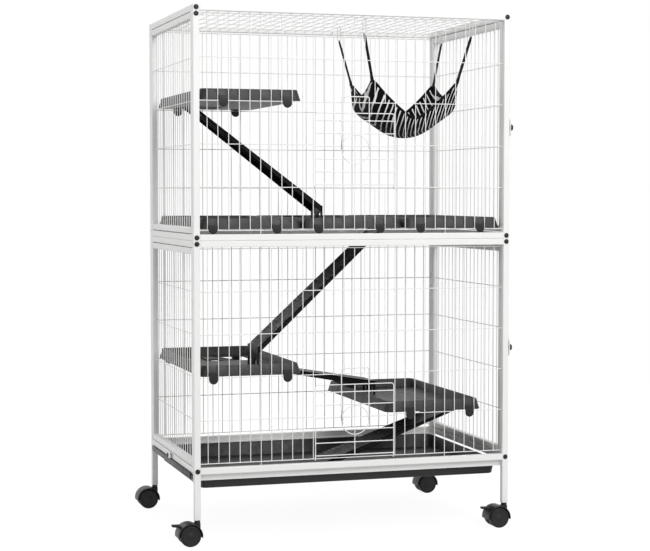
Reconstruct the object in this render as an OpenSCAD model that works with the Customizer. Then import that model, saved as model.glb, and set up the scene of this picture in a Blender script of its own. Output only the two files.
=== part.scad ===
// Tall two-storey ferret cage on casters.
// X runs to the right along the front, Y to the back, Z up.
// The origin is on the floor, in the middle of the four wheels.

/* [Frame] */
// Width over the corner posts
frame_w = 800; // [700:1:900]
// Depth over the corner posts
frame_d = 525; // [480:1:600]
// Outside size of the square tube
tube = 15; // [14:0.5:18]
// Wall of the square tube
tube_wall = 1.2; // [0.8:0.1:1.6]
// Corner radius of the square tube
tube_r = 1.5; // [0.5:0.1:2]
// Length of post between the caster and the bottom rail
leg_l = 108; // [100:1:140]
// Gap between the stacked middle rails
rail_gap = 0.2; // [0.1:0.1:1]
// Gap between a piece and the piece it is pushed into
seat_gap = 0.05; // [0.02:0.01:0.1]
// Radius of a frame bolt
bolt_r = 3; // [2:0.5:4]
// How far a frame bolt reaches past the post
bolt_reach = 12; // [6:1:20]
// Diameter of a screw cap
cap_d = 12; // [9:0.5:13]
// Thickness of a screw cap
cap_t = 2; // [1:0.5:3]

/* [Mesh] */
// Thickness of the mesh wire
wire = 2.4; // [1.8:0.1:3]
// Columns of mesh across the front
columns = 30; // [26:2:34]
// How much of the first and the last column the posts cut off
column_cut = 5.6; // [0:0.1:8]
// How far the wires of the top lie to the left of those of the front
top_shift = 5; // [0:0.5:8]
// Height of one row of mesh
row = 102; // [96:0.1:106]
// Rows of mesh in each cabin
rows = 5; // [4:1:6]
// Columns of mesh in a side panel
side_columns = 18; // [14:1:22]
// Rows of wire across the top
top_rows = 5; // [3:2:5]
// From the front of a post back to the middle of the mesh
mesh_inset = 10.5; // [9:0.5:12]
// From the bottom rail up to the first wire
low_gap = 8.5; // [8:0.5:12]
// From the last wire of the lower cabin up to the middle rails
low_head = 4; // [2:0.5:6]
// From the middle rails up to the first wire of the upper cabin
up_gap = 9; // [8:0.5:12]
// From the last wire up to the top rail
up_head = 4.5; // [2:0.5:8]
// Column whose wire reaches the rails, counted from each side
stay_column = 6; // [3:1:9]

/* [Side panels and doors] */
// Gap round a side panel
panel_gap = 2; // [1.5:0.1:3]
// How far the pivot stands outside the middle of the tube
pivot_out = 2.5; // [1:0.5:2.5]
// Radius of a pivot pin
pivot_r = 2.5; // [2:0.1:3]
// Radial clearance of a pivot pin
pivot_fit = 0.05; // [0.03:0.01:0.1]
// Length of pin in a panel
pivot_l = 12; // [8:1:16]
// Length of the end plugs of the stiles
plug_l = 14; // [13:1:20]
// Length of a turn latch
turn_l = 42; // [36:1:50]
// Width of a turn latch
turn_w = 12; // [10:0.5:14]
// Thickness of a turn latch
turn_t = 2.5; // [1.5:0.1:3]
// Space between the post and the turn latch
turn_space = 2; // [1:0.5:3]
// Diameter of the latch knob
knob_d = 16; // [14:0.5:20]
// Thickness of the latch knob
knob_t = 5.5; // [4:0.5:8]
// Height of the upper latch above the first wire of its cabin
turn_up = 250.5; // [150:0.5:350]
// Height of the lower latch above the first wire of its cabin
turn_low = 257.5; // [150:0.5:350]

/* [Front doors] */
// Columns of mesh that a door opening takes
door_columns = 8; // [6:2:10]
// Rows of mesh that a door opening takes
door_rows = 2; // [2:1:3]
// Gap between a door and the sides of its opening
door_gap = 1.8; // [1.5:0.1:4]
// How far the top of a door stays below the top of its opening
door_head = 25.7; // [16:0.1:28]
// Corner radius at the top of a door
door_r = 8; // [5:1:12]
// Height of the lowest cross wire above the hinge
door_sill = 7; // [6.5:0.5:12]
// Space below the top wire of a door to the next cross wire
door_band = 18; // [14:1:20]
// Equal spaces below that
door_bays = 5; // [3:1:5]
// Gap between the planes of mesh, door and latch
plane_gap = 0.3; // [0.3:0.05:0.6]
// Radial clearance of the hinge eyes on the square wire
eye_fit = 0.15; // [0.1:0.05:0.3]
// Radius of the finger ring
ring_r = 35; // [28:1:38]
// Height of the middle of the finger ring above the hinge
ring_z = 91.5; // [85:0.5:100]
// Height of the cross bar of the latch above the hinge
latch_z = 218; // [212:1:226]
// Wall of a guide loop
guide_wall = 1.7; // [1.2:0.1:2.2]
// Height of a guide loop
guide_h = 4; // [3:0.5:6]

/* [Shelves] */
// Gap between the outer middle shelves and the inside of the posts
shelf_side = 3.5; // [3:0.1:6]
// Gap between the middle shelves
shelf_space = 5; // [3:0.5:8]
// Gap between the ends of a shelf and the mesh at front and back
shelf_gap = 1.3; // [1:0.1:3]
// Height of the shelf wall
shelf_h = 26; // [18:1:34]
// Thickness of a shelf floor
shelf_floor = 3; // [2:0.5:4]
// Width of the rim on top of the wall
shelf_rim = 3.5; // [2.5:0.5:5]
// How far each face of the wall leans
shelf_lean = 7; // [4:0.5:9]
// Corner radius of a shelf at its foot
shelf_r = 18; // [14:1:26]
// Gap between the left shelves and the inside of the posts
left_side = 2.5; // [2.5:0.1:6]
// Gap between the lower right shelf and the inside of the posts
right_side = 51.5; // [30:0.5:70]
// Length of a ramp opening
hole_l = 115; // [110:1:120]
// Width of a ramp opening
hole_w = 120; // [112:1:130]
// From the side of a shelf to its opening
hole_side = 30.5; // [24:0.5:36]
// From the end of a shelf to its opening
hole_end = 39.5; // [30:0.5:48]
// Mesh row that carries the upper left shelf
upper_row = 3; // [2:1:4]
// Mesh row that carries the lower left shelf
left_row = 2; // [2:1:3]
// Mesh row that carries the lower right shelf
right_row = 1; // [1:1:1]

/* [Shelf clips] */
// Width of a clip
clip_w = 22; // [16:0.5:23]
// Height of a clip above its wire
clip_up = 13; // [10:0.5:16]
// Height of a clip below its wire
clip_down = 15; // [10.5:0.5:16]
// Thickness of the clip outside the mesh
clip_t = 2.5; // [2:0.5:4]
// Height of the ears of a clip
ear_h = 2; // [1:0.5:3]
// Width of the ears of a clip
ear_w = 3; // [2:0.5:4]
// Width of the tongue under the shelf
tongue_w = 12; // [8:1:16]
// Thickness of the tongue
tongue_t = 1.6; // [1.2:0.1:2.4]
// How far the tongue reaches under the shelf
tongue_l = 12; // [8:1:20]

/* [Ramps] */
// Width of a ramp
ramp_w = 100; // [90:1:106]
// Length of the slope of a ramp
ramp_l = 432; // [425:1:436]
// Thickness of a ramp
ramp_t = 3; // [2:0.5:4]
// Thickness of the side flange
flange_t = 2.5; // [2:0.5:4]
// Depth of the side flange at the top
flange_top = 7; // [5:0.5:9]
// Depth of the side flange at the foot
flange_foot = 16; // [12:0.5:18]
// Height of the foot of the upper ramp
foot_upper = 49.6; // [44:0.1:56]
// Height of the foot of the middle ramp
foot_middle = 60.5; // [54:0.1:66]
// Height of the foot of the lower ramp
foot_lower = 34.8; // [33:0.1:38]
// Height of the foot of the ramp down to the litter tray
foot_tray = 25.2; // [22:0.1:32]
// From the edge of the opening to the top of the upper ramp
ease_upper = 30; // [10:1:40]
// From the edge of the opening to the top of the lower ramp
ease_lower = 21; // [15:1:25]
// From the edge of the opening to the top of the other ramps
ease_ramp = 2.5; // [2:0.5:5]
// How far the hook of a ramp lies on the shelf
hook_l = 10; // [6:1:14]
// Width of the two notches in a foot
notch_w = 22; // [16:1:26]
// Distance from the middle of a foot to a notch
notch_y = 28; // [26:1:30]
// Height of the notches, at most
notch_h = 26; // [10:1:30]

/* [Hammock] */
// From the left hooks to the left corners of the sling
sling_in_left = 27; // [15:0.5:30]
// From the right hooks to the right corners of the sling
sling_in_right = 30; // [20:0.5:36]
// From the hooks to the corners of the sling, along Y
sling_in_y = 15.5; // [12:0.5:24]
// From the top mesh down to the corners of the sling
sling_hang = 148.5; // [140:0.5:160]
// How far the middle of the sling hangs below its corners
sling_drop = 138; // [110:1:150]
// How far the middle of a side edge hangs below the corners
side_drop = 36; // [24:1:48]
// How far the middle of the front and back edges hangs below the corners
front_drop = 92; // [70:1:100]
// How far the front and back edges draw in at their middle
edge_draw = 2; // [0:0.5:8]
// How square the ends of the sling are
end_square = 1.25; // [0.8:0.05:1.5]
// Thickness of the sling
sling_t = 6; // [4:1:10]
// Top wire that carries the left hooks, counted from the right
hook_wire_left = 12; // [11:1:13]
// Top wire that carries the right hooks, counted from the right
hook_wire_right = 1; // [1:1:2]
// Width of a snap clip
snap_w = 11; // [10:1:20]
// Height of a snap clip
snap_h = 40; // [30:1:44]
// Bar of a snap clip
snap_bar = 2.5; // [2:0.5:3.5]
// Thickness of a snap clip
snap_t = 4; // [3:0.5:6]
// Width of a strap
strap_w = 12; // [8:1:16]
// Thickness of a strap
strap_t = 2; // [1:0.5:3]

/* [Litter tray] */
// Gap between the left end of the tray and the inside of the posts
tray_left = 5; // [3:0.5:8]
// Gap between the right end of the tray and the inside of the posts
tray_right = 4.5; // [1:0.5:20]
// Gap between the walls of the tray and the guides
tray_side = 1; // [0.5:0.1:2]
// Underside of the bottom rails down to the tray rim
tray_drop = 2.5; // [2:0.5:9]
// Height of the tray
tray_h = 36.5; // [25:0.5:40]
// Wall of the tray
tray_t = 3; // [2:0.5:4]
// How far the tray walls lean
tray_lean = 8; // [4:1:22]
// Corner radius of the tray
tray_r = 14; // [10:1:45]
// How far the end lip stands outside the frame
lip_out = 4; // [4:0.5:8]
// From the wall of the tray to the end of its lip
lip_side = 2; // [1:1:130]
// Height of the end lip above the rim
lip_up = 2.5; // [1:0.5:3.5]
// Height of the end lip below the rim
lip_down = 10.5; // [6:0.5:18]
// Height of a tray guide
guide_rail_h = 16; // [14:1:20]
// Depth of a tray guide
guide_rail_d = 14.5; // [12:0.5:15]
// Sheet of a tray guide
guide_rail_t = 1.2; // [1:0.1:2]
// Gap under the rim of the tray in its guide
guide_gap = 0.3; // [0.3:0.05:1]
// Gap between the edge of the rim and the guide
guide_side = 3.3; // [2:0.1:5]
// Length of the tray stop
stop_l = 32; // [28:1:40]
// Width of the tray stop
stop_w = 12; // [10:1:16]
// Thickness of the tray stop
stop_t = 2; // [1.5:0.1:3]
// Place of the tray stop along Y
stop_y = 15; // [0:1:40]

/* [Casters] */
// Height of a caster
caster_h = 60; // [58:0.5:64]
// Radius of a wheel
wheel_r = 25; // [22:0.5:25]
// Width over both wheels
caster_w = 46; // [42:1:50]
// Width of the middle of the housing
web_w = 11; // [10:0.5:13]
// Gap between a wheel and the housing
wheel_gap = 0.5; // [0.4:0.1:1]
// How far the axle trails behind the stem
trail = 20; // [18:0.5:22]
// Radius of the axle
axle_r = 3; // [2.5:0.1:3.5]
// Radius of the stem
stem_r = 3.5; // [3:0.1:3.8]
// Radial clearance of stem and axle
caster_fit = 0.05; // [0.03:0.01:0.1]
// Gap between wheel and fender
fender_gap = 2; // [1.5:0.1:3]
// Thickness of the fender
fender_t = 2.5; // [2:0.1:3]
// Height of the collar under the post
collar_h = 6; // [4:0.5:6]
// Radius of the collar
collar_r = 7.2; // [7:0.1:9]
// Length of the brake lever
lever_l = 14; // [10:1:18]
// Width of the brake lever
lever_w = 12; // [8:1:16]
// Radius of the lever barrel
lever_r = 3.5; // [3:0.1:4]
// Radius of the lever pin
lever_pin_r = 1.5; // [1.2:0.1:2]

/* [Hidden] */
powder = "#f1f1ef";
plastic = "#3b3b3c";
black = "#202021";
steel = "#b9bbbd";
cloth = "#262629";
eps = 0.5;

// Frame levels and centre lines
post_x = frame_w / 2 - tube / 2;
post_y = frame_d / 2 - tube / 2;
in_x = frame_w / 2 - tube;
in_y = frame_d / 2 - tube;
bore = tube - 2 * tube_wall;
rail_z = caster_h + leg_l;
low_z = rail_z + tube;
low_row = low_z + low_gap;
mid_z = low_row + rows * row + low_head;
mid_up_z = mid_z + tube + rail_gap;
up_z = mid_up_z + tube;
up_row = up_z + up_gap;
top_z = up_row + rows * row + up_head;
frame_h = top_z + tube;
low_cabin = mid_z - low_z;
up_cabin = top_z - up_z;
tube_level = [rail_z, mid_z, mid_up_z, top_z];
extra_cap = tube * 1.5;

// Mesh
pitch = 2 * (in_x + column_cut) / columns;
mesh_y = frame_d / 2 - mesh_inset;
top_mesh_z = top_z + tube / 2;
stay_x = (columns / 2 - stay_column) * pitch;

// Side panels
pin_x = post_x + pivot_out;
pin_y = in_y - panel_gap - tube / 2;
panel_in = 2 * pin_y - tube;

// Front doors, measured from the hinge wire, forward of the mesh
opening_x = door_columns / 2 * pitch;
opening_h = door_rows * row;
door_half = opening_x - wire / 2 - door_gap;
door_h = opening_h - door_head;
door_y = wire / 2 + plane_gap;
latch_y = door_y + wire + plane_gap;
eye_in = wire / 2 * sqrt(2) + eye_fit;
eye_out = eye_in + wire;
bay = (door_h - door_band - door_sill) / door_bays;
cross_z = concat([for (i = [0 : door_bays]) door_sill + i * bay], [door_h]);
guide_z = [cross_z[door_bays], cross_z[door_bays - 1]];
slide_gap = 0.3;

// Shelves: a tongue lies on the wire and the shelf lies on the tongue
shelf_w = (2 * (in_x - shelf_side) - 2 * shelf_space) / 3;
shelf_pitch = shelf_w + shelf_space;
left_shelf_x = in_x - left_side - shelf_w / 2;
right_shelf_x = in_x - right_side - shelf_w / 2;
shelf_rise = wire / 2 + tongue_t;
shelf_y = mesh_y - wire / 2 - shelf_gap;
hole_x = shelf_w / 2 - hole_side - hole_l / 2;
hole_y = shelf_y - hole_end - hole_w / 2;
upper_shelf_z = up_row + upper_row * row + shelf_rise;
mid_shelf_z = up_row + shelf_rise;
left_shelf_z = low_row + left_row * row + shelf_rise;
right_shelf_z = low_row + right_row * row + shelf_rise;
upper_left_clips = [-325, -169];
mid_clips = [-351, -195, -91, 65, 169, 325];
lower_left_clips = [-351, -169];
lower_right_clips = [143, 299];

// Litter tray and its guides
tray_l = 2 * in_x - tray_left - tray_right;
tray_x = (tray_right - tray_left) / 2;
rim_z = rail_z - tray_drop;
tray_z = rim_z - tray_h;
guide_y = in_y;
tray_w = 2 * (guide_y - guide_rail_d - tray_side);
lip_l = tray_left + tube + lip_out;
lip_w = tray_w - 2 * lip_side;
stop_space = lip_out + 0.5;
sleeve_r = 4;
rim_y = guide_y - guide_rail_t - guide_side;

// Casters
axle_z = wheel_r;
fender_in = wheel_r + fender_gap;
fender_out = fender_in + fender_t;
fork_top = caster_h - collar_h - 0.3;
stem_foot = 34;
plug_top = caster_h + 28;
lever_angle = 138;
lever_out = fender_out + lever_r + 0.4;
lever_x = -trail + lever_out * cos(lever_angle);
lever_z = axle_z + lever_out * sin(lever_angle);

// ---- Outlines ----

function arc(x, y, r, a, b, n = 6) = [for (i = [0 : n]) [x + r * cos(a + (b - a) * i / n), y + r * sin(a + (b - a) * i / n)]];

function round_points(w, d, r, n = 6) = concat(
  arc(w / 2 - r, d / 2 - r, r, 0, 90, n), arc(-w / 2 + r, d / 2 - r, r, 90, 180, n),
  arc(-w / 2 + r, -d / 2 + r, r, 180, 270, n), arc(w / 2 - r, -d / 2 + r, r, 270, 360, n));

// The open stretches between parallel wires, past the edges at both ends
function spaces(at, lo, hi) = [for (k = [0 : len(at)])
  [k == 0 ? lo - 1 : at[k - 1] + wire / 2, k == len(at) ? hi + 1 : at[k] - wire / 2]];

// Wires and columns of the front mesh, counted from the left
function column_x(i) = (i - columns / 2) * pitch;

function column_at(x) = floor(x / pitch + columns / 2);

module stand() rotate([90, 0, 0]) children();

module window(gx, gy) translate([gx[0], gy[0]]) square([gx[1] - gx[0], gy[1] - gy[0]]);

// ---- Frame ----

module tube_outline() polygon(round_points(tube, tube, tube_r, 3));

module bar(length) linear_extrude(length, center = true) difference() {
  tube_outline();
  square(bore, center = true);
}

module bar_x(length) rotate([0, 90, 0]) bar(length);

module bar_y(length) rotate([90, 0, 0]) bar(length);

function bolt_levels(sx, sy) = concat([for (z = tube_level) z + tube / 2], sx < 0 && sy < 0 ? [frame_h - extra_cap] : []);

module post(sx, sy) color(powder) translate([sx * post_x, sy * post_y, 0]) difference() {
  translate([0, 0, caster_h]) linear_extrude(frame_h - caster_h) tube_outline();
  translate([-bore / 2, -bore / 2, caster_h - 1]) cube([bore, bore, frame_h - caster_h - tube_wall + 1]);
  for (z = bolt_levels(sx, sy)) translate([0, 0, z]) stand() cylinder(h = tube + 2, r = bolt_r + pivot_fit, center = true, $fn = 24);
  if (sx > 0 && sy < 0) for (z = [up_row + turn_up, low_row + turn_low])
    translate([0, 0, z]) rotate([0, 90, 0]) cylinder(h = tube, r = pivot_r + pivot_fit, $fn = 24);
}

module cross_rail(y, z) translate([0, y, z + tube / 2]) bar_x(2 * in_x);

module cross_mid_rails(y) for (z = [mid_z, mid_up_z]) cross_rail(y, z);

// A side rail with bores through one wall for the panel pins
module side_rail(sx, z, up) difference() {
  translate([sx * post_x, 0, z + tube / 2]) bar_y(2 * in_y);
  for (y = sx < 0 ? [-pin_y, pin_y] : [pin_y])
    translate([sx * pin_x, y, z + tube / 2]) rotate([up ? 0 : 180, 0, 0]) cylinder(h = tube, r = pivot_r, $fn = 24);
}

module side_top_rails() color(powder) for (sx = [-1, 1]) side_rail(sx, top_z, false);

module side_mid_rails() color(powder) for (sx = [-1, 1]) {
  side_rail(sx, mid_z, false);
  side_rail(sx, mid_up_z, true);
}

module side_bottom_rails() color(powder) {
  side_rail(1, rail_z, true);
  difference() {
    side_rail(-1, rail_z, true);
    translate([-post_x, stop_y, rail_z + tube / 2]) rotate([0, -90, 0]) cylinder(h = tube, r = pivot_r, $fn = 24);
  }
}

// Folded channel behind each bottom rail, open towards the tray
module tray_guides() color(powder) for (sy = [-1, 1]) rotate([90, 0, 90]) linear_extrude(frame_w, center = true) difference() {
  translate([sy > 0 ? guide_y - guide_rail_d : -guide_y, rail_z - guide_rail_h]) square([guide_rail_d, guide_rail_h]);
  translate([sy > 0 ? guide_y - guide_rail_d - 1 : guide_rail_t - guide_y, rail_z - guide_rail_h + guide_rail_t])
    square([guide_rail_d - guide_rail_t + 1, guide_rail_h - 2 * guide_rail_t]);
}

// ---- Mesh ----

module open_grid(w, h, xs, ys) difference() {
  square([w, h], center = true);
  for (gx = spaces(xs, -w / 2, w / 2), gy = spaces(ys, -h / 2, h / 2)) window(gx, gy);
}

module top_mesh() color(powder) translate([0, 0, top_mesh_z - wire / 2]) linear_extrude(wire)
  open_grid(2 * in_x, 2 * in_y, [for (i = [1 : columns - 1]) column_x(i) - top_shift],
    [for (j = [0 : top_rows - 1]) (j - (top_rows - 1) / 2) * row]);

// Mesh of one cabin, with an opening that starts at door_row, or none when it is -1
module cabin_outline(gap, head, door_row) {
  height = gap + rows * row + head;
  across = spaces([for (i = [1 : columns - 1]) column_x(i)], -in_x, in_x);
  ends = spaces([-stay_x, stay_x], -in_x, in_x);
  difference() {
    translate([-in_x, 0]) square([2 * in_x, height]);
    for (gx = ends, gy = [[-1, gap - wire / 2], [gap + rows * row + wire / 2, height + 1]]) window(gx, gy);
    for (i = [0 : columns - 1], j = [0 : rows - 1]) {
      in_door = door_row >= 0 && j >= door_row && j < door_row + door_rows && abs(i + 0.5 - columns / 2) < door_columns / 2;
      if (!in_door) window(across[i], [gap + j * row + wire / 2, gap + (j + 1) * row - wire / 2]);
    }
    if (door_row >= 0) window([wire / 2 - opening_x, opening_x - wire / 2],
      [gap + door_row * row + wire / 2, gap + (door_row + door_rows) * row - wire / 2]);
  }
}

module cabin_mesh(sy, z, gap, head, door_row) color(powder)
  translate([0, sy * mesh_y + wire / 2, z]) stand() linear_extrude(wire) cabin_outline(gap, head, door_row);

// ---- Side panels ----

// A welded tube frame with mesh: two stiles, two rails between them, and a plug in each end of a stile
module side_panel(sx, z, height, wires) translate([sx * post_x, 0, z]) {
  difference() {
    union() {
      for (y = [-pin_y, pin_y]) translate([0, y, 0]) linear_extrude(height) tube_outline();
      for (z = [tube / 2, height - tube / 2]) translate([0, 0, z]) rotate([90, 0, 0]) linear_extrude(panel_in, center = true) tube_outline();
    }
    for (y = [-pin_y, pin_y]) translate([-bore / 2, y - bore / 2, -1]) cube([bore, bore, height + 2]);
    for (z = [tube_wall, height - tube + tube_wall]) translate([-bore / 2, -pin_y, z]) cube([bore, 2 * pin_y, bore]);
  }
  for (y = [-pin_y, pin_y], top = [0, 1]) translate([0, y, top * (height - plug_l)]) difference() {
    translate([seat_gap - bore / 2, seat_gap - bore / 2, 0]) cube([bore - 2 * seat_gap, bore - 2 * seat_gap, plug_l]);
    translate([sx * pivot_out, 0, -1]) cylinder(h = plug_l + 2, r = pivot_r + pivot_fit, $fn = 24);
  }
  translate([-wire / 2, 0, height / 2]) rotate([90, 0, 90]) linear_extrude(wire)
    open_grid(panel_in, height - 2 * tube, [for (i = [1 : side_columns - 1]) (i / side_columns - 0.5) * panel_in],
      [for (w = wires) w - z - height / 2]);
}

module upper_panel(sx) color(powder) side_panel(sx, up_z + panel_gap, up_cabin - 2 * panel_gap, [for (j = [1 : rows - 1]) up_row + j * row]);

module lower_panel(sx) color(powder) side_panel(sx, low_z + panel_gap, low_cabin - 2 * panel_gap, [for (j = [1 : rows - 1]) low_row + j * row]);

// A pin stands in a rail, carries the panel on its washer and runs in the plug
module panel_pin() rotate_extrude($fn = 32) polygon([
  [0, -tube_wall - 3], [pivot_r, -tube_wall - 3], [pivot_r, 0], [2 * pivot_r, 0],
  [2 * pivot_r, panel_gap - pivot_fit], [pivot_r, panel_gap - pivot_fit],
  [pivot_r, panel_gap + pivot_l - 1], [pivot_r - 1, panel_gap + pivot_l], [0, panel_gap + pivot_l]]);

module panel_pins() color(steel) for (at = [[-1, -pin_y], [-1, pin_y], [1, pin_y]]) {
  for (z = [low_z, up_z]) translate([at[0] * pin_x, at[1], z]) panel_pin();
  for (z = [mid_z, top_z]) translate([at[0] * pin_x, at[1], z]) rotate([180, 0, 0]) panel_pin();
}

// Bar of a turn latch, upright beside the door
module turn_bar(z) color(powder) translate([frame_w / 2 + turn_space, -post_y, z]) rotate([90, 0, 90]) linear_extrude(turn_t) difference() {
  polygon(round_points(turn_w, turn_l, turn_w / 2 - 0.5));
  circle(pivot_r, $fn = 24);
}

// Knob, washer and pin of a turn latch
module turn_knob(z) color(black) translate([frame_w / 2, -post_y, z]) rotate([0, 90, 0]) rotate_extrude($fn = 48) polygon([
  [0, -tube_wall - 2], [pivot_r, -tube_wall - 2], [pivot_r, pivot_fit], [turn_w / 2 - 1, pivot_fit], [turn_w / 2 - 1, turn_space],
  [pivot_r, turn_space], [pivot_r, turn_space + turn_t], [knob_d / 2, turn_space + turn_t],
  [knob_d / 2, turn_space + turn_t + knob_t - 1.5], [knob_d / 2 - 1.5, turn_space + turn_t + knob_t], [0, turn_space + turn_t + knob_t]]);

// ---- Bolts ----

// Bolt with its screw cap; the cap lies on z = 0 and the shank points down
module bolt(shank_r, length) rotate_extrude($fn = 32) polygon([
  [0, -length], [shank_r, -length], [shank_r, 0], [cap_d / 2, 0], [cap_d / 2, cap_t - 0.8], [cap_d / 2 - 1.2, cap_t], [0, cap_t]]);

module frame_screws() color(black) {
  for (sx = [-1, 1], sy = [-1, 1], z = bolt_levels(sx, sy))
    translate([sx * post_x, sy * frame_d / 2, z]) rotate([-90 * sy, 0, 0])
      bolt(bolt_r, z == frame_h - extra_cap ? tube : tube + bolt_reach);
  translate([-frame_w / 2, stop_y, rail_z + tube / 2]) rotate([0, -90, 0]) {
    translate([0, 0, stop_space + stop_t + plane_gap]) bolt(pivot_r, stop_space + stop_t + plane_gap + tube_wall + 3);
    cylinder(h = stop_space - plane_gap, r = sleeve_r, $fn = 32);
  }
}

// ---- Shelves ----

module slab(w, d, r, z) translate([0, 0, z]) linear_extrude(0.01) polygon(round_points(w, d, r));

// A moulded tray whose outer faces lean in and whose inner faces lean out
module shelf(x, z, hx, hy) {
  w = shelf_w;
  d = 2 * shelf_y;
  inner = 2 * (shelf_lean + shelf_rim);
  color(plastic) translate([x, 0, z]) difference() {
    hull() {
      slab(w, d, shelf_r, 0);
      slab(w - 2 * shelf_lean, d - 2 * shelf_lean, shelf_r - shelf_lean / 2, shelf_h - 0.01);
    }
    hull() {
      slab(w - inner - 2 * shelf_lean, d - inner - 2 * shelf_lean, shelf_r - shelf_lean, shelf_floor);
      slab(w - inner, d - inner, shelf_r - shelf_lean / 2, shelf_h + 0.01);
    }
    if (hx != 0) translate([hx, hy, -1]) linear_extrude(shelf_floor + 2) polygon(round_points(hole_l, hole_w, 8));
  }
}

module clip_outline(down) polygon(concat(
  arc(0, clip_w / 2 - down, clip_w / 2, 180, 360, 12),
  [[clip_w / 2, clip_up + ear_h], [clip_w / 2 - ear_w, clip_up + ear_h], [clip_w / 2 - ear_w, clip_up],
   [ear_w - clip_w / 2, clip_up], [ear_w - clip_w / 2, clip_up + ear_h], [-clip_w / 2, clip_up + ear_h]]));

// Clip on the wire at height z, in the middle of the column of mesh that holds x
module shelf_clip(x, sy, z, down = clip_down) translate([column_x(column_at(x) + 0.5), sy * (mesh_y + wire / 2), z]) mirror([0, sy > 0 ? 1 : 0, 0]) {
  stand() linear_extrude(clip_t) clip_outline(down);
  translate([-tongue_w / 2, -eps, wire / 2]) cube([tongue_w, wire + shelf_gap + tongue_l + eps, tongue_t]);
}

module shelf_clips() color(black) for (sy = [-1, 1]) {
  for (x = upper_left_clips) shelf_clip(x, sy, up_row + upper_row * row);
  for (x = mid_clips) shelf_clip(x, sy, up_row, min(clip_down, up_gap - plane_gap));
  for (x = lower_left_clips) shelf_clip(x, sy, low_row + left_row * row);
  for (x = lower_right_clips) shelf_clip(x, sy, low_row + right_row * row);
}

// ---- Ramps ----

// A ramp that starts at x on a shelf floor and runs down in direction s to a foot on floor_z
module ramp(x, y, z, s, foot_h, ease, floor_z) {
  fall = z + ramp_t - foot_h - floor_z;
  run = sqrt(ramp_l * ramp_l - fall * fall);
  slot_h = min(notch_h, foot_h * 0.6);
  color(plastic) translate([x, y, z + ramp_t]) mirror([s < 0 ? 1 : 0, 0, 0]) {
    // hook on the shelf floor
    translate([-ease - hook_l, -ramp_w / 2, -ramp_t]) cube([ease + hook_l, ramp_w, ramp_t]);
    // plank, level over its foot
    translate([0, ramp_w / 2, 0]) stand() linear_extrude(ramp_w)
      polygon([[0, 0], [run, -fall], [run + ramp_t, -fall], [run + ramp_t, -fall - ramp_t], [run, -fall - ramp_t], [0, -ramp_t]]);
    // side flanges
    for (sy = [0, 1]) translate([0, ramp_w / 2 - sy * (ramp_w - flange_t), 0]) stand() linear_extrude(flange_t)
      polygon([[0, -ramp_t / 2], [run, -fall - ramp_t / 2], [run, -fall - flange_foot], [0, -flange_top]]);
    // foot with a round tongue between two prongs
    translate([run, 0, -fall - foot_h]) rotate([90, 0, 90]) linear_extrude(ramp_t) difference() {
      translate([-ramp_w / 2, 0]) square([ramp_w, foot_h]);
      for (sn = [-1, 1]) polygon(concat([[sn * notch_y + notch_w / 2, -1]],
        arc(sn * notch_y, slot_h - notch_w / 4, notch_w / 2, 0, 180, 8), [[sn * notch_y - notch_w / 2, -1]]));
    }
  }
}

// ---- Hammock ----

hook_x = [for (i = [hook_wire_left, hook_wire_right]) column_x(columns - i) - top_shift];
hook_y = row + wire / 2 + plane_gap + snap_t / 2;
sling_left = hook_x[0] + sling_in_left;
sling_right = hook_x[1] - sling_in_right;
sling_y = hook_y - sling_in_y;
sling_top = top_mesh_z - sling_hang;
snap_top = top_mesh_z + wire / 2 + snap_bar;
sling_n = 16;
sling_mid = (sling_left + sling_right) / 2;
sling_half = (sling_right - sling_left) / 2;
sling_deep = sling_drop - side_drop;
under_scale = 1.025;

// Half an end profile: straight in the middle of the sling, upright at its ends
function square_end(u) = u * pow((1 + pow(end_square, 4)) / (1 + pow(end_square * u, 4)), 0.25);

// The sling hangs as a deep bag with upright ends; its front and back edges run straight down from the corners
function sling_point(u, v, under) =
  let (w = pow(abs(v), 14),
       wide = (1 - w) * square_end(u) + w * u,
       bag = (1 - w) * (1 - pow(abs(u), 2.2)) + w * (1 - pow(abs(u), 1.2)),
       sag = side_drop * (1 - pow(abs(v), 1.5)) + (sling_deep - (sling_deep - front_drop) * v * v) * bag,
       grow = under ? under_scale : 1)
  [sling_mid + grow * wide * sling_half, grow * v * (sling_y - edge_draw * (1 - u * u)),
   sling_top - sag - (under ? sling_t : 0)];

module hammock_sling() {
  n = sling_n;
  m = n + 1;
  at = [for (i = [0 : n]) sin(90 * (2 * i / n - 1))];
  grid = [for (under = [false, true], u = at, v = at) sling_point(u, v, under)];
  top = [for (i = [0 : n - 1], j = [0 : n - 1]) each [[i * m + j, i * m + j + 1, i * m + m + j], [i * m + m + j, i * m + j + 1, i * m + m + j + 1]]];
  below = [for (f = top) [f[0] + m * m, f[2] + m * m, f[1] + m * m]];
  rim = concat([for (j = [0 : n]) j], [for (i = [1 : n]) i * m + n], [for (j = [n - 1 : -1 : 0]) n * m + j], [for (i = [n - 1 : -1 : 1]) i * m]);
  wall = [for (k = [0 : len(rim) - 1]) let (a = rim[k], b = rim[(k + 1) % len(rim)])
    each [[a, a + m * m, b], [b, a + m * m, b + m * m]]];
  color(cloth) polyhedron(grid, concat(top, below, wall));
}

module at_hooks() for (sx = [0, 1], sy = [-1, 1]) translate([hook_x[sx], sy * hook_y, 0]) children();

module hammock_clips() color(powder) at_hooks() translate([0, snap_t / 2, snap_top - snap_h / 2]) stand() linear_extrude(snap_t) difference() {
  polygon(round_points(snap_w, snap_h, snap_w / 2 - 0.5));
  polygon(round_points(snap_w - 2 * snap_bar, snap_h - 2 * snap_bar, snap_w / 2 - snap_bar - 0.5));
}

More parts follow.
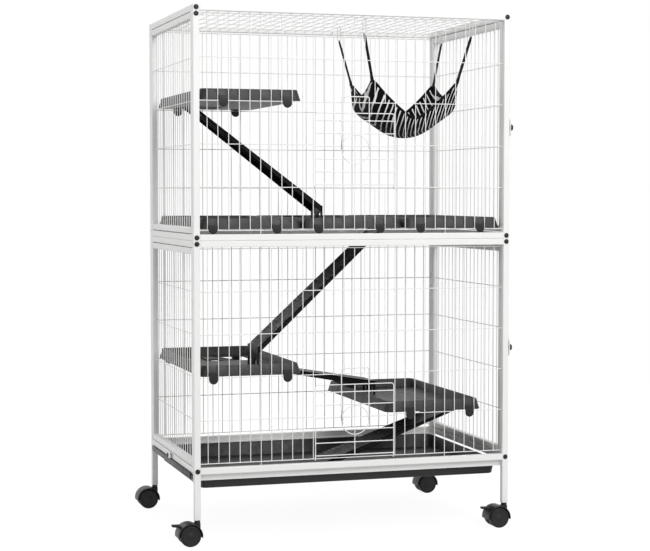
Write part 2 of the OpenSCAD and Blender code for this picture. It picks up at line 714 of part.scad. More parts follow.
module hammock_straps() color(black) for (sx = [0, 1], sy = [-1, 1]) hull() {
  translate([hook_x[sx], sy * hook_y, snap_top - snap_h - 0.5]) cube([strap_t, strap_w, 1], center = true);
  translate([sx == 0 ? sling_left + 1 : sling_right - 1, sy * (sling_y - strap_w / 2), sling_top + 1]) cube([strap_t, strap_w, 2], center = true);
}

// ---- Litter tray ----

module litter_tray() color(black) translate([-tray_x, 0, tray_z]) {
  difference() {
    union() {
      hull() {
        slab(tray_l - tray_lean, tray_w - 2 * tray_lean, tray_r, 0);
        slab(tray_l, tray_w, tray_r, tray_h - 0.01);
      }
      for (sy = [-1, 1]) translate([0, sy * (tray_w / 2 + rim_y - tray_t / 2) / 2, tray_h - tray_t / 2])
        cube([tray_l - 2 * tray_r, rim_y - tray_w / 2 + 1.5 * tray_t, tray_t], center = true);
      translate([-tray_l / 2 - lip_l, -lip_w / 2, tray_h - tray_t]) cube([lip_l + tray_t, lip_w, tray_t]);
    }
    hull() {
      slab(tray_l - tray_lean - 2 * tray_t, tray_w - 2 * tray_lean - 2 * tray_t, tray_r - tray_t, tray_t);
      slab(tray_l - 2 * tray_t, tray_w - 2 * tray_t, tray_r - tray_t, tray_h + 0.01);
    }
  }
  // turned-down edges that run in the guides
  for (sy = [-1, 1]) translate([-tray_l / 2 + tray_r, sy * rim_y - tray_t / 2, rail_z - guide_rail_h + guide_rail_t + guide_gap - tray_z])
    cube([tray_l - 2 * tray_r, tray_t, rim_z - rail_z + guide_rail_h - guide_rail_t - guide_gap]);
  translate([-tray_l / 2 - lip_l, -lip_w / 2, tray_h - lip_down]) cube([tray_t, lip_w, lip_down + lip_up]);
}

// The stop lies on its side beside its screw, out of the way of the tray
module tray_stop() color(powder) translate([-frame_w / 2 - stop_space, stop_y, rail_z + tube / 2]) rotate([90, 0, -90]) linear_extrude(stop_t) difference() {
  translate([stop_l / 2 - stop_w / 2, 0]) polygon(round_points(stop_l, stop_w, stop_w / 2 - 0.5));
  circle(pivot_r + pivot_fit, $fn = 24);
}

// ---- Front doors ----

function door_fill_x() = [[wire - door_half, -wire / 2], [wire / 2, door_half - wire]];

module door_outline() difference() {
  polygon(concat([[-door_half, wire / 2], [door_half, wire / 2]],
    arc(door_half - door_r, door_h + wire / 2 - door_r, door_r, 0, 90),
    arc(door_r - door_half, door_h + wire / 2 - door_r, door_r, 90, 180)));
  window([wire - door_half, door_half - wire], [-1, door_sill - wire / 2]);
  for (gx = door_fill_x(), i = [0 : door_bays]) window(gx, [cross_z[i] + wire / 2, cross_z[i + 1] - wire / 2]);
}

// A guide loop in front of the door, round one leg of the latch
module guide_loop(x, z) translate([x, 0, z]) difference() {
  translate([-wire / 2 - slide_gap - guide_wall, -latch_y - wire - slide_gap - guide_wall, -guide_h / 2])
    cube([wire + 2 * slide_gap + 2 * guide_wall, wire + plane_gap + slide_gap + guide_wall + eps, guide_h]);
  translate([-wire / 2 - slide_gap, -latch_y - wire - slide_gap, -guide_h])
    cube([wire + 2 * slide_gap, wire + plane_gap + slide_gap, 2 * guide_h]);
}

module front_door(z) color(powder) translate([0, -mesh_y, z]) difference() {
  union() {
    translate([0, -door_y, 0]) stand() linear_extrude(wire) door_outline();
    for (sx = [-1, 1]) translate([sx * (door_half - wire / 2), 0, 0]) rotate([0, 90, 0]) cylinder(h = wire, r = eye_out, center = true, $fn = 32);
    for (sx = [-1, 1], gz = guide_z) guide_loop(sx * ring_r, gz);
  }
  rotate([0, 90, 0]) cylinder(h = 2 * door_half + 2, r = eye_in, center = true, $fn = 32);
}

module ring_outline(r) polygon(arc(0, ring_z, r, 0, 352.5, 47));

// Finger ring, two legs and a cross bar in one plane
module front_latch(z) color(powder) translate([0, -mesh_y - latch_y, z]) stand() linear_extrude(wire) {
  difference() {
    ring_outline(ring_r + wire / 2);
    ring_outline(ring_r - wire / 2);
  }
  for (sx = [-1, 1]) translate([sx * ring_r - wire / 2, ring_z]) square([wire, latch_z - ring_z]);
  translate([-ring_r - wire / 2, latch_z - wire / 2]) square([2 * ring_r + wire, wire]);
}

// ---- Casters ----

module at_caster(sx, sy) translate([sx * post_x, sy * post_y, 0]) children();

module caster_stems() for (sx = [-1, 1], sy = [-1, 1]) at_caster(sx, sy) {
  color(black) difference() {
    translate([seat_gap - bore / 2, seat_gap - bore / 2, caster_h + seat_gap])
      cube([bore - 2 * seat_gap, bore - 2 * seat_gap, plug_top - caster_h]);
    translate([0, 0, caster_h - 1]) cylinder(h = plug_top, r = stem_r + seat_gap, $fn = 32);
  }
  color(black) rotate_extrude($fn = 48) polygon([
    [0, stem_foot], [stem_r, stem_foot], [stem_r, caster_h - collar_h], [collar_r, caster_h - collar_h],
    [collar_r, caster_h], [stem_r, caster_h], [stem_r, plug_top - 3], [0, plug_top - 3]]);
}

module lever_lug() {
  translate([lever_x, lever_z]) polygon(arc(0, 0, lever_r, 0, 345, 23));
  polygon([for (q = [[lever_angle - 6, fender_in + 1], [lever_angle + 6, fender_in + 1], [lever_angle + 5, lever_out], [lever_angle - 5, lever_out]])
    [-trail + q[1] * cos(q[0]), axle_z + q[1] * sin(q[0])]]);
}

module caster_housing(sx, sy, brake) color(black) at_caster(sx, sy) difference() {
  union() {
    translate([0, web_w / 2, 0]) stand() linear_extrude(web_w) {
      polygon(concat([[-trail, axle_z]], arc(-trail, axle_z, (fender_in + fender_out) / 2, 20, 130, 12)));
      polygon(arc(-trail, axle_z, 3 * axle_r, 0, 345, 23));
      translate([-2 * stem_r - 3, stem_foot - 8]) square([4 * stem_r + 4, fork_top - stem_foot + 8]);
    }
    translate([0, caster_w / 2, 0]) stand() linear_extrude(caster_w)
      polygon(concat(arc(-trail, axle_z, fender_out, -8, 188, 28), arc(-trail, axle_z, fender_in, 188, -8, 28)));
    if (brake) for (y = [-lever_w / 2 - 0.3, lever_w / 2 + 3.3]) translate([0, y, 0]) stand() linear_extrude(3) lever_lug();
  }
  translate([0, 0, stem_foot - 0.3]) cylinder(h = caster_h, r = stem_r + caster_fit, $fn = 32);
  translate([-trail, 0, axle_z]) stand() cylinder(h = caster_w, r = axle_r + caster_fit, center = true, $fn = 32);
  if (brake) translate([lever_x, 0, lever_z]) stand() cylinder(h = caster_w, r = lever_pin_r, center = true, $fn = 24);
}

module caster_wheels(sx, sy) color(black) at_caster(sx, sy) translate([-trail, 0, axle_z]) for (s = [-1, 1]) rotate([90 * s, 0, 0]) {
  rotate_extrude($fn = 64) {
    a = web_w / 2 + wheel_gap;
    b = caster_w / 2;
    polygon([[axle_r + seat_gap, a], [wheel_r - 1.5, a], [wheel_r, a + 1.5], [wheel_r, b - 1.5], [wheel_r - 1.5, b],
      [wheel_r - 3.5, b], [wheel_r - 4.5, b - 0.8], [0, b - 0.8], [0, b - 4], [axle_r + seat_gap, b - 4]]);
  }
  if (s > 0) color(steel) cylinder(h = caster_w - 8 - 2 * seat_gap, r = axle_r, center = true, $fn = 32);
}

// Brake lever with its pin; the tongue points away from the stem
module brake_lever(sx, sy) at_caster(sx, sy) {
  color(plastic) translate([lever_x, lever_w / 2, lever_z]) stand() linear_extrude(lever_w) difference() {
    polygon(concat(arc(0, 0, lever_r, -60, 90, 10), [[-lever_l, lever_r + 0.8]],
      arc(-lever_l - 0.5, lever_r - 1.9, 2.7, 90, 270), [[-lever_l * 0.6, -1.8], [-1, -lever_r]]));
    circle(lever_pin_r, $fn = 24);
  }
  color(steel) translate([lever_x, 0, lever_z]) stand() cylinder(h = lever_w + 6, r = lever_pin_r - pivot_fit, center = true, $fn = 24);
}

// ---- The assembly ----

module cage() {
  post(-1, -1);  // post_front_left
  post(1, -1);  // post_front_right
  post(-1, 1);  // post_back_left
  post(1, 1);  // post_back_right
  color(powder) cross_rail(-post_y, top_z);  // front_top_rail
  color(powder) cross_mid_rails(-post_y);  // front_mid_rails
  color(powder) cross_rail(-post_y, rail_z);  // front_bottom_rail
  color(powder) cross_rail(post_y, top_z);  // back_top_rail
  color(powder) cross_mid_rails(post_y);  // back_mid_rails
  color(powder) cross_rail(post_y, rail_z);  // back_bottom_rail
  side_top_rails();
  side_mid_rails();
  side_bottom_rails();
  tray_guides();
  top_mesh();
  cabin_mesh(-1, up_z, up_gap, up_head, 1);  // front_upper_mesh
  cabin_mesh(-1, low_z, low_gap, low_head, 0);  // front_lower_mesh
  cabin_mesh(1, up_z, up_gap, up_head, -1);  // back_upper_mesh
  cabin_mesh(1, low_z, low_gap, low_head, -1);  // back_lower_mesh
  upper_panel(-1);  // left_upper_panel
  lower_panel(-1);  // left_lower_panel
  panel_pins();
  frame_screws();
  caster_stems();
  shelf(-left_shelf_x, upper_shelf_z, -hole_x, hole_y);  // upper_left_shelf
  shelf(-shelf_pitch, mid_shelf_z, 0, 0);  // mid_left_shelf
  shelf(0, mid_shelf_z, hole_x, -hole_y);  // mid_centre_shelf
  shelf(shelf_pitch, mid_shelf_z, 0, 0);  // mid_right_shelf
  shelf(-left_shelf_x, left_shelf_z, hole_x, hole_y);  // lower_left_shelf
  shelf(right_shelf_x, right_shelf_z, hole_x, -hole_y);  // lower_right_shelf
  shelf_clips();
  ramp(-left_shelf_x - hole_x - hole_l / 2 + ease_upper, hole_y,  // upper_ramp
    upper_shelf_z + shelf_floor, 1, foot_upper, ease_upper, mid_shelf_z + shelf_floor);
  ramp(hole_x + hole_l / 2 - ease_ramp, -hole_y,  // middle_ramp
    mid_shelf_z + shelf_floor, -1, foot_middle, ease_ramp, left_shelf_z + shelf_floor);
  ramp(-left_shelf_x + hole_x - hole_l / 2 + ease_lower, hole_y,  // lower_ramp
    left_shelf_z + shelf_floor, 1, foot_lower, ease_lower, right_shelf_z + shelf_floor);
  ramp(right_shelf_x + hole_x + hole_l / 2 - ease_ramp, -hole_y,  // tray_ramp
    right_shelf_z + shelf_floor, -1, foot_tray, ease_ramp, tray_z + tray_t + plane_gap);
  hammock_sling();
  hammock_straps();
  hammock_clips();
  litter_tray();
  tray_stop();
  front_door(up_row + row);  // upper_front_door
  front_latch(up_row + row);  // upper_front_latch
  front_door(low_row);  // lower_front_door
  front_latch(low_row);  // lower_front_latch
  upper_panel(1);  // upper_side_door
  lower_panel(1);  // lower_side_door
  turn_bar(up_row + turn_up);  // upper_side_latch_bar
  turn_knob(up_row + turn_up);  // upper_side_latch_knob
  turn_bar(low_row + turn_low);  // lower_side_latch_bar
  turn_knob(low_row + turn_low);  // lower_side_latch_knob
  caster_housing(-1, -1, true);  // caster_housing_fl
  caster_housing(1, -1, true);  // caster_housing_fr
  caster_housing(-1, 1, false);  // caster_housing_bl
  caster_housing(1, 1, false);  // caster_housing_br
  caster_wheels(-1, -1);  // caster_wheels_fl
  caster_wheels(1, -1);  // caster_wheels_fr
  caster_wheels(-1, 1);  // caster_wheels_bl
  caster_wheels(1, 1);  // caster_wheels_br
  brake_lever(-1, -1);  // brake_lever_fl
  brake_lever(1, -1);  // brake_lever_fr
}

// The wheels trail to the left of their posts, so the frame stands that much to the right
translate([trail, 0, 0]) cage();
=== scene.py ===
"""Looks of a tall wire ferret cage on casters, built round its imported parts.

Every shape is worked out in metres in the cage's own frame: X to the right along the front, Y to the back, Z up.
"""

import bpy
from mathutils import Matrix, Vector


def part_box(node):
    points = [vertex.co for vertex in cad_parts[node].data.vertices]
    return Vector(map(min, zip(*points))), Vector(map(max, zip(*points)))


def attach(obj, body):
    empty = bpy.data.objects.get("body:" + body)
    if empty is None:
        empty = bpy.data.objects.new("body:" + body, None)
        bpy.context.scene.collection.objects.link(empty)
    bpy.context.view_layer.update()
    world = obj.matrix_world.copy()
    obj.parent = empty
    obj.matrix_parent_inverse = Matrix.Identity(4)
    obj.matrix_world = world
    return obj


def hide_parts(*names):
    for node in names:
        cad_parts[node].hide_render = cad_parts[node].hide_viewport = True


bl_info = {
    "name": "Ferret Cage",
    "version": (1, 0, 0),
    "blender": (4, 5, 0),
    "location": "3D View > Sidebar > Cage",
    "description": "Wires, shelves, ramps, hammock, tray and casters of a two-storey ferret cage",
    "category": "Add Mesh",
}

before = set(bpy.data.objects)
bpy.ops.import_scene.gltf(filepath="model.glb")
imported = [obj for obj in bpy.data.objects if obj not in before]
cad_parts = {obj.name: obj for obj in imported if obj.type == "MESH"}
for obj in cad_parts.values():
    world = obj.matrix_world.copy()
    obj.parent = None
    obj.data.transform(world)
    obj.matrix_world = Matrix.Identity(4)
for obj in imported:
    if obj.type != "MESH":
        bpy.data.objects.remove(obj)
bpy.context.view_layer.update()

import math

import bmesh
import bpy
import numpy as np

RIGHT, BACK, UP = np.eye(3)

# Axes of a flat piece: along it, up it and through it
LEVEL, FACING, SIDEWAYS = (RIGHT, BACK, UP), (RIGHT, UP, -BACK), (BACK, UP, RIGHT)


def middle(node):
    low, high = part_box(node)
    return (np.array(low) + np.array(high)) / 2


def span(node):
    low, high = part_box(node)
    return np.array(high) - np.array(low)


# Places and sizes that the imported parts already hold
MID_X = float(middle("front_top_rail")[0])
HALF_X = float(span("front_top_rail")[0] / 2)
MESH_Y = float(middle("back_upper_mesh")[1])
HALF_Y = float(span("top_mesh")[1] / 2)
TOP_MESH_Z = float(middle("top_mesh")[2])
TUBE = float(span("front_top_rail")[2])
POST_X = HALF_X + TUBE / 2
POST_Y = float(middle("post_back_left")[1])

# Pattern of the wires: the end columns are cut short and the top wires stand a little to the left
COLUMNS, ROWS, TOP_ROWS, SIDE_COLUMNS, DOOR_COLUMNS = 30, 5, 5, 18, 4
LONG_WIRES = (6, 24)
COLUMN_CUT, TOP_SHIFT = 0.0056, 0.005
PITCH = 2 * (HALF_X + COLUMN_CUT) / COLUMNS
ROW = 0.102
LOW_MARGIN, UP_MARGIN = 0.0085, 0.009
LOW_ROW = float(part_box("front_lower_mesh")[0][2]) + LOW_MARGIN
UP_ROW = float(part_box("front_upper_mesh")[0][2]) + UP_MARGIN


def column(i):
    """Place of wire i of the front mesh, counted from the left post."""
    return MID_X + (i - COLUMNS / 2) * PITCH


def mesh_levels(z0):
    return [z0 + j * ROW for j in range(ROWS + 1)]


# ---- Sizes and colours a user would change ----


def length(name, description, default):
    return bpy.props.FloatProperty(name=name, description=description, default=default, unit="LENGTH")


def tint(name, description, default):
    return bpy.props.FloatVectorProperty(
        name=name, description=description, default=default, subtype="COLOR", size=3, min=0, max=1)


class CageSizes(bpy.types.PropertyGroup):
    wire: length("Wire", "Diameter of the mesh wire", 0.0020)
    door_wire: length("Door wire", "Diameter of the wire of the front doors and latches", 0.0024)
    weld: length("Weld", "How far upright wires stand behind the cross wires", 0.0012)
    stripe: length("Stripe pitch", "Distance between stripes on the hammock", 0.0095)
    binding: length("Binding", "Width of the black edge binding of the hammock", 0.004)


class CageColours(bpy.types.PropertyGroup):
    powder: tint("Powder coat", "White powder coat on tubes and wires", (0.80, 0.80, 0.79))
    shelf: tint("Shelf", "Moulded plastic of the shelves", (0.030, 0.030, 0.031))
    ramp: tint("Ramp", "Moulded plastic of the ramps", (0.005, 0.005, 0.0053))
    tray: tint("Tray", "Moulded plastic of the litter tray", (0.020, 0.020, 0.021))
    fitting: tint("Fittings", "Black plastic of clips, caps, knobs and casters", (0.009, 0.009, 0.0092))
    cloth: tint("Cloth", "Black cloth of the hammock", (0.0025, 0.0025, 0.0027))
    stripe: tint("Stripe", "Pale stripes of the hammock", (0.80, 0.80, 0.80))


# ---- Finishes ----


def node_tree(name):
    made = bpy.data.materials.new(name)
    made.use_nodes = True
    tree = made.node_tree
    return made, tree, tree.nodes["Principled BSDF"]


def linked(tree, kind, **inputs):
    """A node with its sockets set: a socket as a value is linked, anything else is written on it."""
    made = tree.nodes.new(kind)
    for key, value in inputs.items():
        socket = made.inputs[int(key[1:])] if key[0] == "_" else made.inputs[key]
        if isinstance(value, bpy.types.NodeSocket):
            tree.links.new(value, socket)
        else:
            socket.default_value = value
    return made


def maths(tree, how, a, b=0.0):
    made = linked(tree, "ShaderNodeMath", _0=a, _1=b)
    made.operation = how
    return made.outputs[0]


def noise(tree, where, scale, detail=3.0):
    return linked(tree, "ShaderNodeTexNoise", Vector=where, Scale=scale, Detail=detail).outputs["Fac"]


def ramp_between(tree, fac, low, high, to_low, to_high):
    return linked(tree, "ShaderNodeMapRange", _0=fac, _1=low, _2=high, _3=to_low, _4=to_high).outputs[0]


def shade(colour, k):
    return tuple(min(1.0, c * k) for c in colour[:3]) + (1.0,)


def mix_colours(tree, surface, fac, low, high):
    """The surface is coloured low where fac is 0 and high where it is 1."""
    mixed = linked(tree, "ShaderNodeMix", Factor=fac)
    mixed.data_type = "RGBA"
    mixed.inputs[6].default_value = low
    mixed.inputs[7].default_value = high
    tree.links.new(mixed.outputs[2], surface.inputs["Base Color"])


def relief(tree, surface, height, strength, depth):
    normal = linked(tree, "ShaderNodeBump", Height=height, Strength=strength, Distance=depth)
    tree.links.new(normal.outputs[0], surface.inputs["Normal"])


def set_inputs(surface, **values):
    for key, value in values.items():
        surface.inputs[key.replace("_", " ")].default_value = value


def finish(name, colour, rough, grain, bump, depth, vary, rough_vary, specular=0.5, metal=0.0):
    """A coated or moulded surface: a fine grain in the normal, a slow drift in colour and patches of roughness."""
    made, tree, surface = node_tree(name)
    where = tree.nodes.new("ShaderNodeTexCoord").outputs["Object"]
    slow = ramp_between(tree, noise(tree, where, 14.0), 0.3, 0.7, 0.0, 1.0)
    mix_colours(tree, surface, slow, shade(colour, 1 - vary), shade(colour, 1 + vary))
    patch = ramp_between(tree, noise(tree, where, 55.0), 0.3, 0.7, rough - rough_vary, rough + rough_vary)
    tree.links.new(patch, surface.inputs["Roughness"])
    relief(tree, surface, noise(tree, where, grain, 2.0), bump, depth)
    set_inputs(surface, Specular_IOR_Level=specular, Metallic=metal)
    return made


def striped_cloth(name, colour, stripe, pitch, binding):
    """Plush cloth with pale stripes across the attribute stripe, broken here and there.

    A plain band lies where the attribute edge, the distance to the nearest edge, is under binding.
    """
    made, tree, surface = node_tree(name)
    uv = tree.nodes.new("ShaderNodeUVMap").outputs[0]
    across, edge = tree.nodes.new("ShaderNodeAttribute"), tree.nodes.new("ShaderNodeAttribute")
    across.attribute_name, edge.attribute_name = "stripe", "edge"
    sway = ramp_between(tree, noise(tree, uv, 22.0, 1.0), 0.0, 1.0, -0.003, 0.003)
    phase = maths(tree, "MULTIPLY", maths(tree, "ADD", across.outputs["Fac"], sway), 2 * math.pi / pitch)
    width = ramp_between(tree, noise(tree, uv, 40.0, 1.0), 0.3, 0.7, 0.84, 0.50)
    wave = maths(tree, "SUBTRACT", maths(tree, "SINE", phase), width)
    line = ramp_between(tree, wave, 0.0, 0.07, 0.0, 1.0)
    shown = maths(tree, "MULTIPLY", line, maths(tree, "GREATER_THAN", edge.outputs["Fac"], binding))
    mix_colours(tree, surface, shown, shade(colour, 1), shade(stripe, 1))
    relief(tree, surface, noise(tree, uv, 1800.0, 2.0), 0.5, 0.0006)
    set_inputs(surface, Roughness=0.95, Specular_IOR_Level=0.1, Sheen_Weight=0.05, Sheen_Roughness=0.5)
    return made


def webbing(name, colour):
    """Woven strap: fine chequered relief over a black yarn."""
    made, tree, surface = node_tree(name)
    where = tree.nodes.new("ShaderNodeTexCoord").outputs["Object"]
    weave = linked(tree, "ShaderNodeTexChecker", Vector=where, Scale=700.0).outputs["Fac"]
    relief(tree, surface, weave, 0.4, 0.0004)
    mix_colours(tree, surface, noise(tree, where, 300.0), shade(colour, 0.8), shade(colour, 1.6))
    set_inputs(surface, Roughness=0.85, Specular_IOR_Level=0.15, Sheen_Weight=0.05)
    return made


FINISHES = {}


def make_finishes(colours, sizes):
    # Key, name, colour, roughness, grain, its strength and depth, drift of colour and roughness, specular, metal
    for key, *facts in (
        ("powder", "powder_coat", colours.powder, 0.38, 900.0, 0.12, 0.0003, 0.015, 0.05),
        ("wire", "coated_wire", colours.powder, 0.34, 600.0, 0.08, 0.0002, 0.02, 0.05),
        ("shelf", "shelf_plastic", colours.shelf, 0.46, 700.0, 0.25, 0.0004, 0.12, 0.07, 0.3),
        ("ramp", "ramp_plastic", colours.ramp, 0.40, 420.0, 0.35, 0.0006, 0.25, 0.10, 0.12),
        ("tray", "tray_plastic", colours.tray, 0.42, 500.0, 0.2, 0.0004, 0.12, 0.08, 0.3),
        ("fitting", "black_fitting", colours.fitting, 0.40, 900.0, 0.1, 0.0002, 0.10, 0.06, 0.3),
        ("tread", "wheel_tread", colours.fitting, 0.55, 500.0, 0.15, 0.0003, 0.12, 0.06, 0.3),
        ("zinc", "zinc_plate", (0.52, 0.52, 0.53), 0.32, 700.0, 0.1, 0.0002, 0.05, 0.08, 0.5, 1.0),
        ("clip", "white_clip", (0.70, 0.70, 0.70), 0.3, 500.0, 0.05, 0.0002, 0.02, 0.05),
    ):
        FINISHES[key] = finish(*facts)
    FINISHES["strap"] = webbing("strap_webbing", colours.cloth)
    FINISHES["cloth"] = striped_cloth("hammock_cloth", colours.cloth, colours.stripe, sizes.stripe, sizes.binding)


# ---- Shapes: each is (points, faces), the points a numpy array and the faces lists of indices ----


def mm(*points):
    """Points given in millimetres, as an array in metres."""
    return np.array(points, float) / 1000


def grid_faces(rows, cols, wrap_rows=False, wrap_cols=False):
    """Four-sided faces of a grid whose point (i, j) has index i * cols + j."""
    i = np.arange(rows if wrap_rows else rows - 1)[:, None]
    j = np.arange(cols if wrap_cols else cols - 1)[None, :]
    k, m = (i + 1) % rows, (j + 1) % cols
    corners = np.broadcast_arrays(i * cols + j, i * cols + m, k * cols + m, k * cols + j)
    return np.stack(corners, -1).reshape(-1, 4).tolist()


def capped(rings, count):
    """Faces of a tube of rings with count points each, closed by a face at both ends."""
    ends = [list(range(count))[::-1], list(range((rings - 1) * count, rings * count))]
    return grid_faces(rings, count, wrap_cols=True) + ends


def joined(*shapes):
    """Several shapes as one, with the faces counted on."""
    points, faces, count = [], [], 0
    for p, f in shapes:
        points.append(np.asarray(p, float).reshape(-1, 3))
        faces += [[k + count for k in face] for face in f]
        count += len(points[-1])
    return np.concatenate(points), faces


def moved(shape, by):
    return np.asarray(shape[0]) + np.asarray(by, float), shape[1]


def placed(points, at, axes):
    """Point (a, b, c) goes to at + a * axes[0] + b * axes[1] + c * axes[2]."""
    return np.asarray(at, float) + points @ np.array(axes, float)


def unit(v):
    v = np.asarray(v, float)
    return v / np.linalg.norm(v, axis=-1, keepdims=True)


def arc(x, y, r, a, b, n=6):
    """Points at (x, y) + r * (cos t, sin t), t in degrees from a to b."""
    t = np.radians(np.linspace(a, b, n + 1))
    return np.stack([x + r * np.cos(t), y + r * np.sin(t)], -1)


def mirrored(half):
    """An outline from its right half: the points again with x turned round, in backward order."""
    half = np.asarray(half, float)
    return np.concatenate([half, half[::-1] * (-1, 1)])


def rounded(w, d, r, n=8, m=1):
    """Outline of a w by d rectangle with corner radius r, each side cut into m lengths."""
    x, y = w / 2 - r, d / 2 - r
    centres = ((x, y), (-x, y), (-x, -y), (x, -y))
    corners = [arc(*c, r, 90 * k, 90 * k + 90, n) for k, c in enumerate(centres)]
    out = []
    for k, corner in enumerate(corners):
        out.append(corner)
        a, b = corner[-1], corners[(k + 1) % 4][0]
        out.append(a + (b - a) * (np.arange(1, m) / m)[:, None])
    return np.concatenate(out)


def inset(outline, by):
    """Each corner moves along the bisector of its two sides, to the left of the way round, by their distance by."""
    after, before = np.roll(outline, -1, 0) - outline, outline - np.roll(outline, 1, 0)
    n1 = unit(np.stack([-before[:, 1], before[:, 0]], -1))
    n2 = unit(np.stack([-after[:, 1], after[:, 0]], -1))
    return outline + by * (n1 + n2) / np.maximum(1 + (n1 * n2).sum(1, keepdims=True), 0.4)


def lofted(loops, ends=False):
    """Closed loops of equal count, each (outline, height), joined in order: in a ring, or with a face at both ends."""
    points = np.concatenate([np.column_stack([o, np.broadcast_to(z, len(o))]) for o, z in loops])
    count = len(loops[0][0])
    return points, capped(len(loops), count) if ends else grid_faces(len(loops), count, True, True)


def plate(outline, thick, edge, at=(0, 0, 0), axes=LEVEL, steps=3):
    """A flat piece of a closed outline whose edges follow a quarter round.

    Ring k is inset by edge * (1 - sin a) at depth edge * (1 - cos a). An outline that runs anticlockwise
    gets rounded edges, and one that runs clockwise gets edges that widen by as much.
    """
    a = np.linspace(0, np.pi / 2, steps + 1)
    rings = [(edge * (1 - np.sin(t)), edge * (1 - np.cos(t))) for t in a]
    rings += [(k, thick - h) for k, h in reversed(rings)]
    points, faces = lofted([(inset(outline, k), h) for k, h in rings], True)
    return placed(points, at, axes), faces


END_SIZE, END_LENGTH = 0.6, 0.4  # a wire's end narrows to this part of its radius, over this part of it


def ring_round(u, v, sides):
    """Points u cos t + v sin t once round."""
    t = np.linspace(0, 2 * np.pi, sides, endpoint=False)
    return u[..., None, :] * np.cos(t)[:, None] + v[..., None, :] * np.sin(t)[:, None]


def rods(a, b, radius, sides=8):
    """Straight round wires from each a to its b, with smaller capped rings at both ends."""
    a, b = np.broadcast_arrays(np.atleast_2d(np.asarray(a, float)), np.atleast_2d(np.asarray(b, float)))
    along = unit(b - a)
    far = np.linalg.norm(b - a, axis=1)[:, None]
    u = unit(np.cross(along, np.where(abs(along[:, 2:3]) > 0.9, RIGHT, UP)))
    ring = ring_round(u, np.cross(along, u), sides)
    e = radius * END_LENGTH
    at = np.concatenate([0 * far, 0 * far + e, far - e, far], 1)
    size = radius * np.array([END_SIZE, 1, 1, END_SIZE])
    points = a[:, None, None] + along[:, None, None] * at[:, :, None, None] + size[:, None, None] * ring[:, None]
    one = capped(4, sides)
    return points.reshape(-1, 3), [[k + n * 4 * sides for k in face] for n in range(len(a)) for face in one]


def bent_wire(path, radius, up, closed=False, sides=10):
    """A round wire along a bent path, its rings square to the path and levelled by up."""
    path = np.asarray(path, float)
    ahead = unit((np.roll(path, -1, 0) - np.roll(path, 1, 0)) if closed else np.gradient(path, axis=0))
    size = np.ones(len(path))
    if not closed:
        e = radius * END_LENGTH
        path = np.concatenate([path[:1] - ahead[:1] * e, path, path[-1:] + ahead[-1:] * e])
        ahead = np.concatenate([ahead[:1], ahead, ahead[-1:]])
        size = np.concatenate([[END_SIZE], size, [END_SIZE]])
    side = unit(np.cross(ahead, up))
    ring = ring_round(side, np.cross(side, ahead), sides)
    points = path[:, None] + radius * size[:, None, None] * ring
    rings = len(path)
    return points.reshape(-1, 3), grid_faces(rings, sides, True, True) if closed else capped(rings, sides)


def turned(profile, at, axis, sides=48):
    """A turned piece: profile point (r, h) goes to at + h * axis + r * (u cos t + v sin t)."""
    profile = np.asarray(profile, float)
    axis = unit(axis)
    u = unit(np.cross(axis, RIGHT if abs(axis[0]) < 0.9 else UP))
    ring = ring_round(u, np.cross(axis, u), sides)
    points = np.asarray(at, float) + profile[:, 1, None, None] * axis + profile[:, 0, None, None] * ring
    return points.reshape(-1, 3), grid_faces(len(profile), sides, wrap_cols=True)


def square_tube(a, b):
    """A square tube from a to b, upright or from front to back, closed at both ends."""
    a, b = np.asarray(a, float), np.asarray(b, float)
    along = unit(b - a)
    outline = rounded(TUBE, TUBE, 0.0015, 4)
    return plate(outline, float(np.linalg.norm(b - a)), 0.0004, a, (RIGHT, np.cross(along, RIGHT), along), 2)


def piece(name, shape, finish_name, body, replaced=(), angle=40, uv=None, values=()):
    """A shape becomes an object: doubles are merged, faces point outwards and it rides on its body."""
    points, faces = shape
    mesh = bpy.data.meshes.new(name)
    mesh.from_pydata(np.asarray(points).tolist(), [], faces)
    if uv is not None:
        layer = mesh.uv_layers.new(name="cloth")
        index = np.empty(len(mesh.loops), np.int32)
        mesh.loops.foreach_get("vertex_index", index)
        layer.data.foreach_set("uv", np.asarray(uv, np.float32)[index].ravel())
    for kind, value in values:
        mesh.attributes.new(kind, "FLOAT", "POINT").data.foreach_set("value", np.asarray(value, np.float32))
    made = bmesh.new()
    made.from_mesh(mesh)
    bmesh.ops.remove_doubles(made, verts=made.verts, dist=1e-7)
    bmesh.ops.dissolve_degenerate(made, edges=made.edges, dist=1e-8)
    bmesh.ops.recalc_face_normals(made, faces=made.faces)
    made.to_mesh(mesh)
    made.free()
    mesh.materials.append(FINISHES[finish_name])
    mesh.polygons.foreach_set("use_smooth", [True] * len(mesh.polygons))
    mesh.set_sharp_from_angle(angle=math.radians(angle))
    made = bpy.data.objects.new(name, mesh)
    bpy.context.scene.collection.objects.link(made)
    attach(made, body)
    if replaced:
        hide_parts(*replaced)
    return made


def repaint(finish_name, *nodes):
    """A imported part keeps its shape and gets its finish."""
    for name in nodes:
        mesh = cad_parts[name].data
        mesh.materials.clear()
        mesh.materials.append(FINISHES[finish_name])


class CageOperator:
    bl_options = {"REGISTER", "UNDO"}

    @property
    def sizes(self):
        return bpy.context.scene.cage_sizes


# ---- Stage ----

LENS, SENSOR, FAR = 93.3, 36.0, 60
EYE_X, EYE_Y, EYE_Z = -1.26497, -4.12581, 0.83353
EYE_DOWN, EYE_TURN = 0.049, -0.298
FLOOR_HALF, FLOOR_GLOW, FLOOR_SHARE, SKY_LIGHT = 9, 1.12, 0.84, 0.50


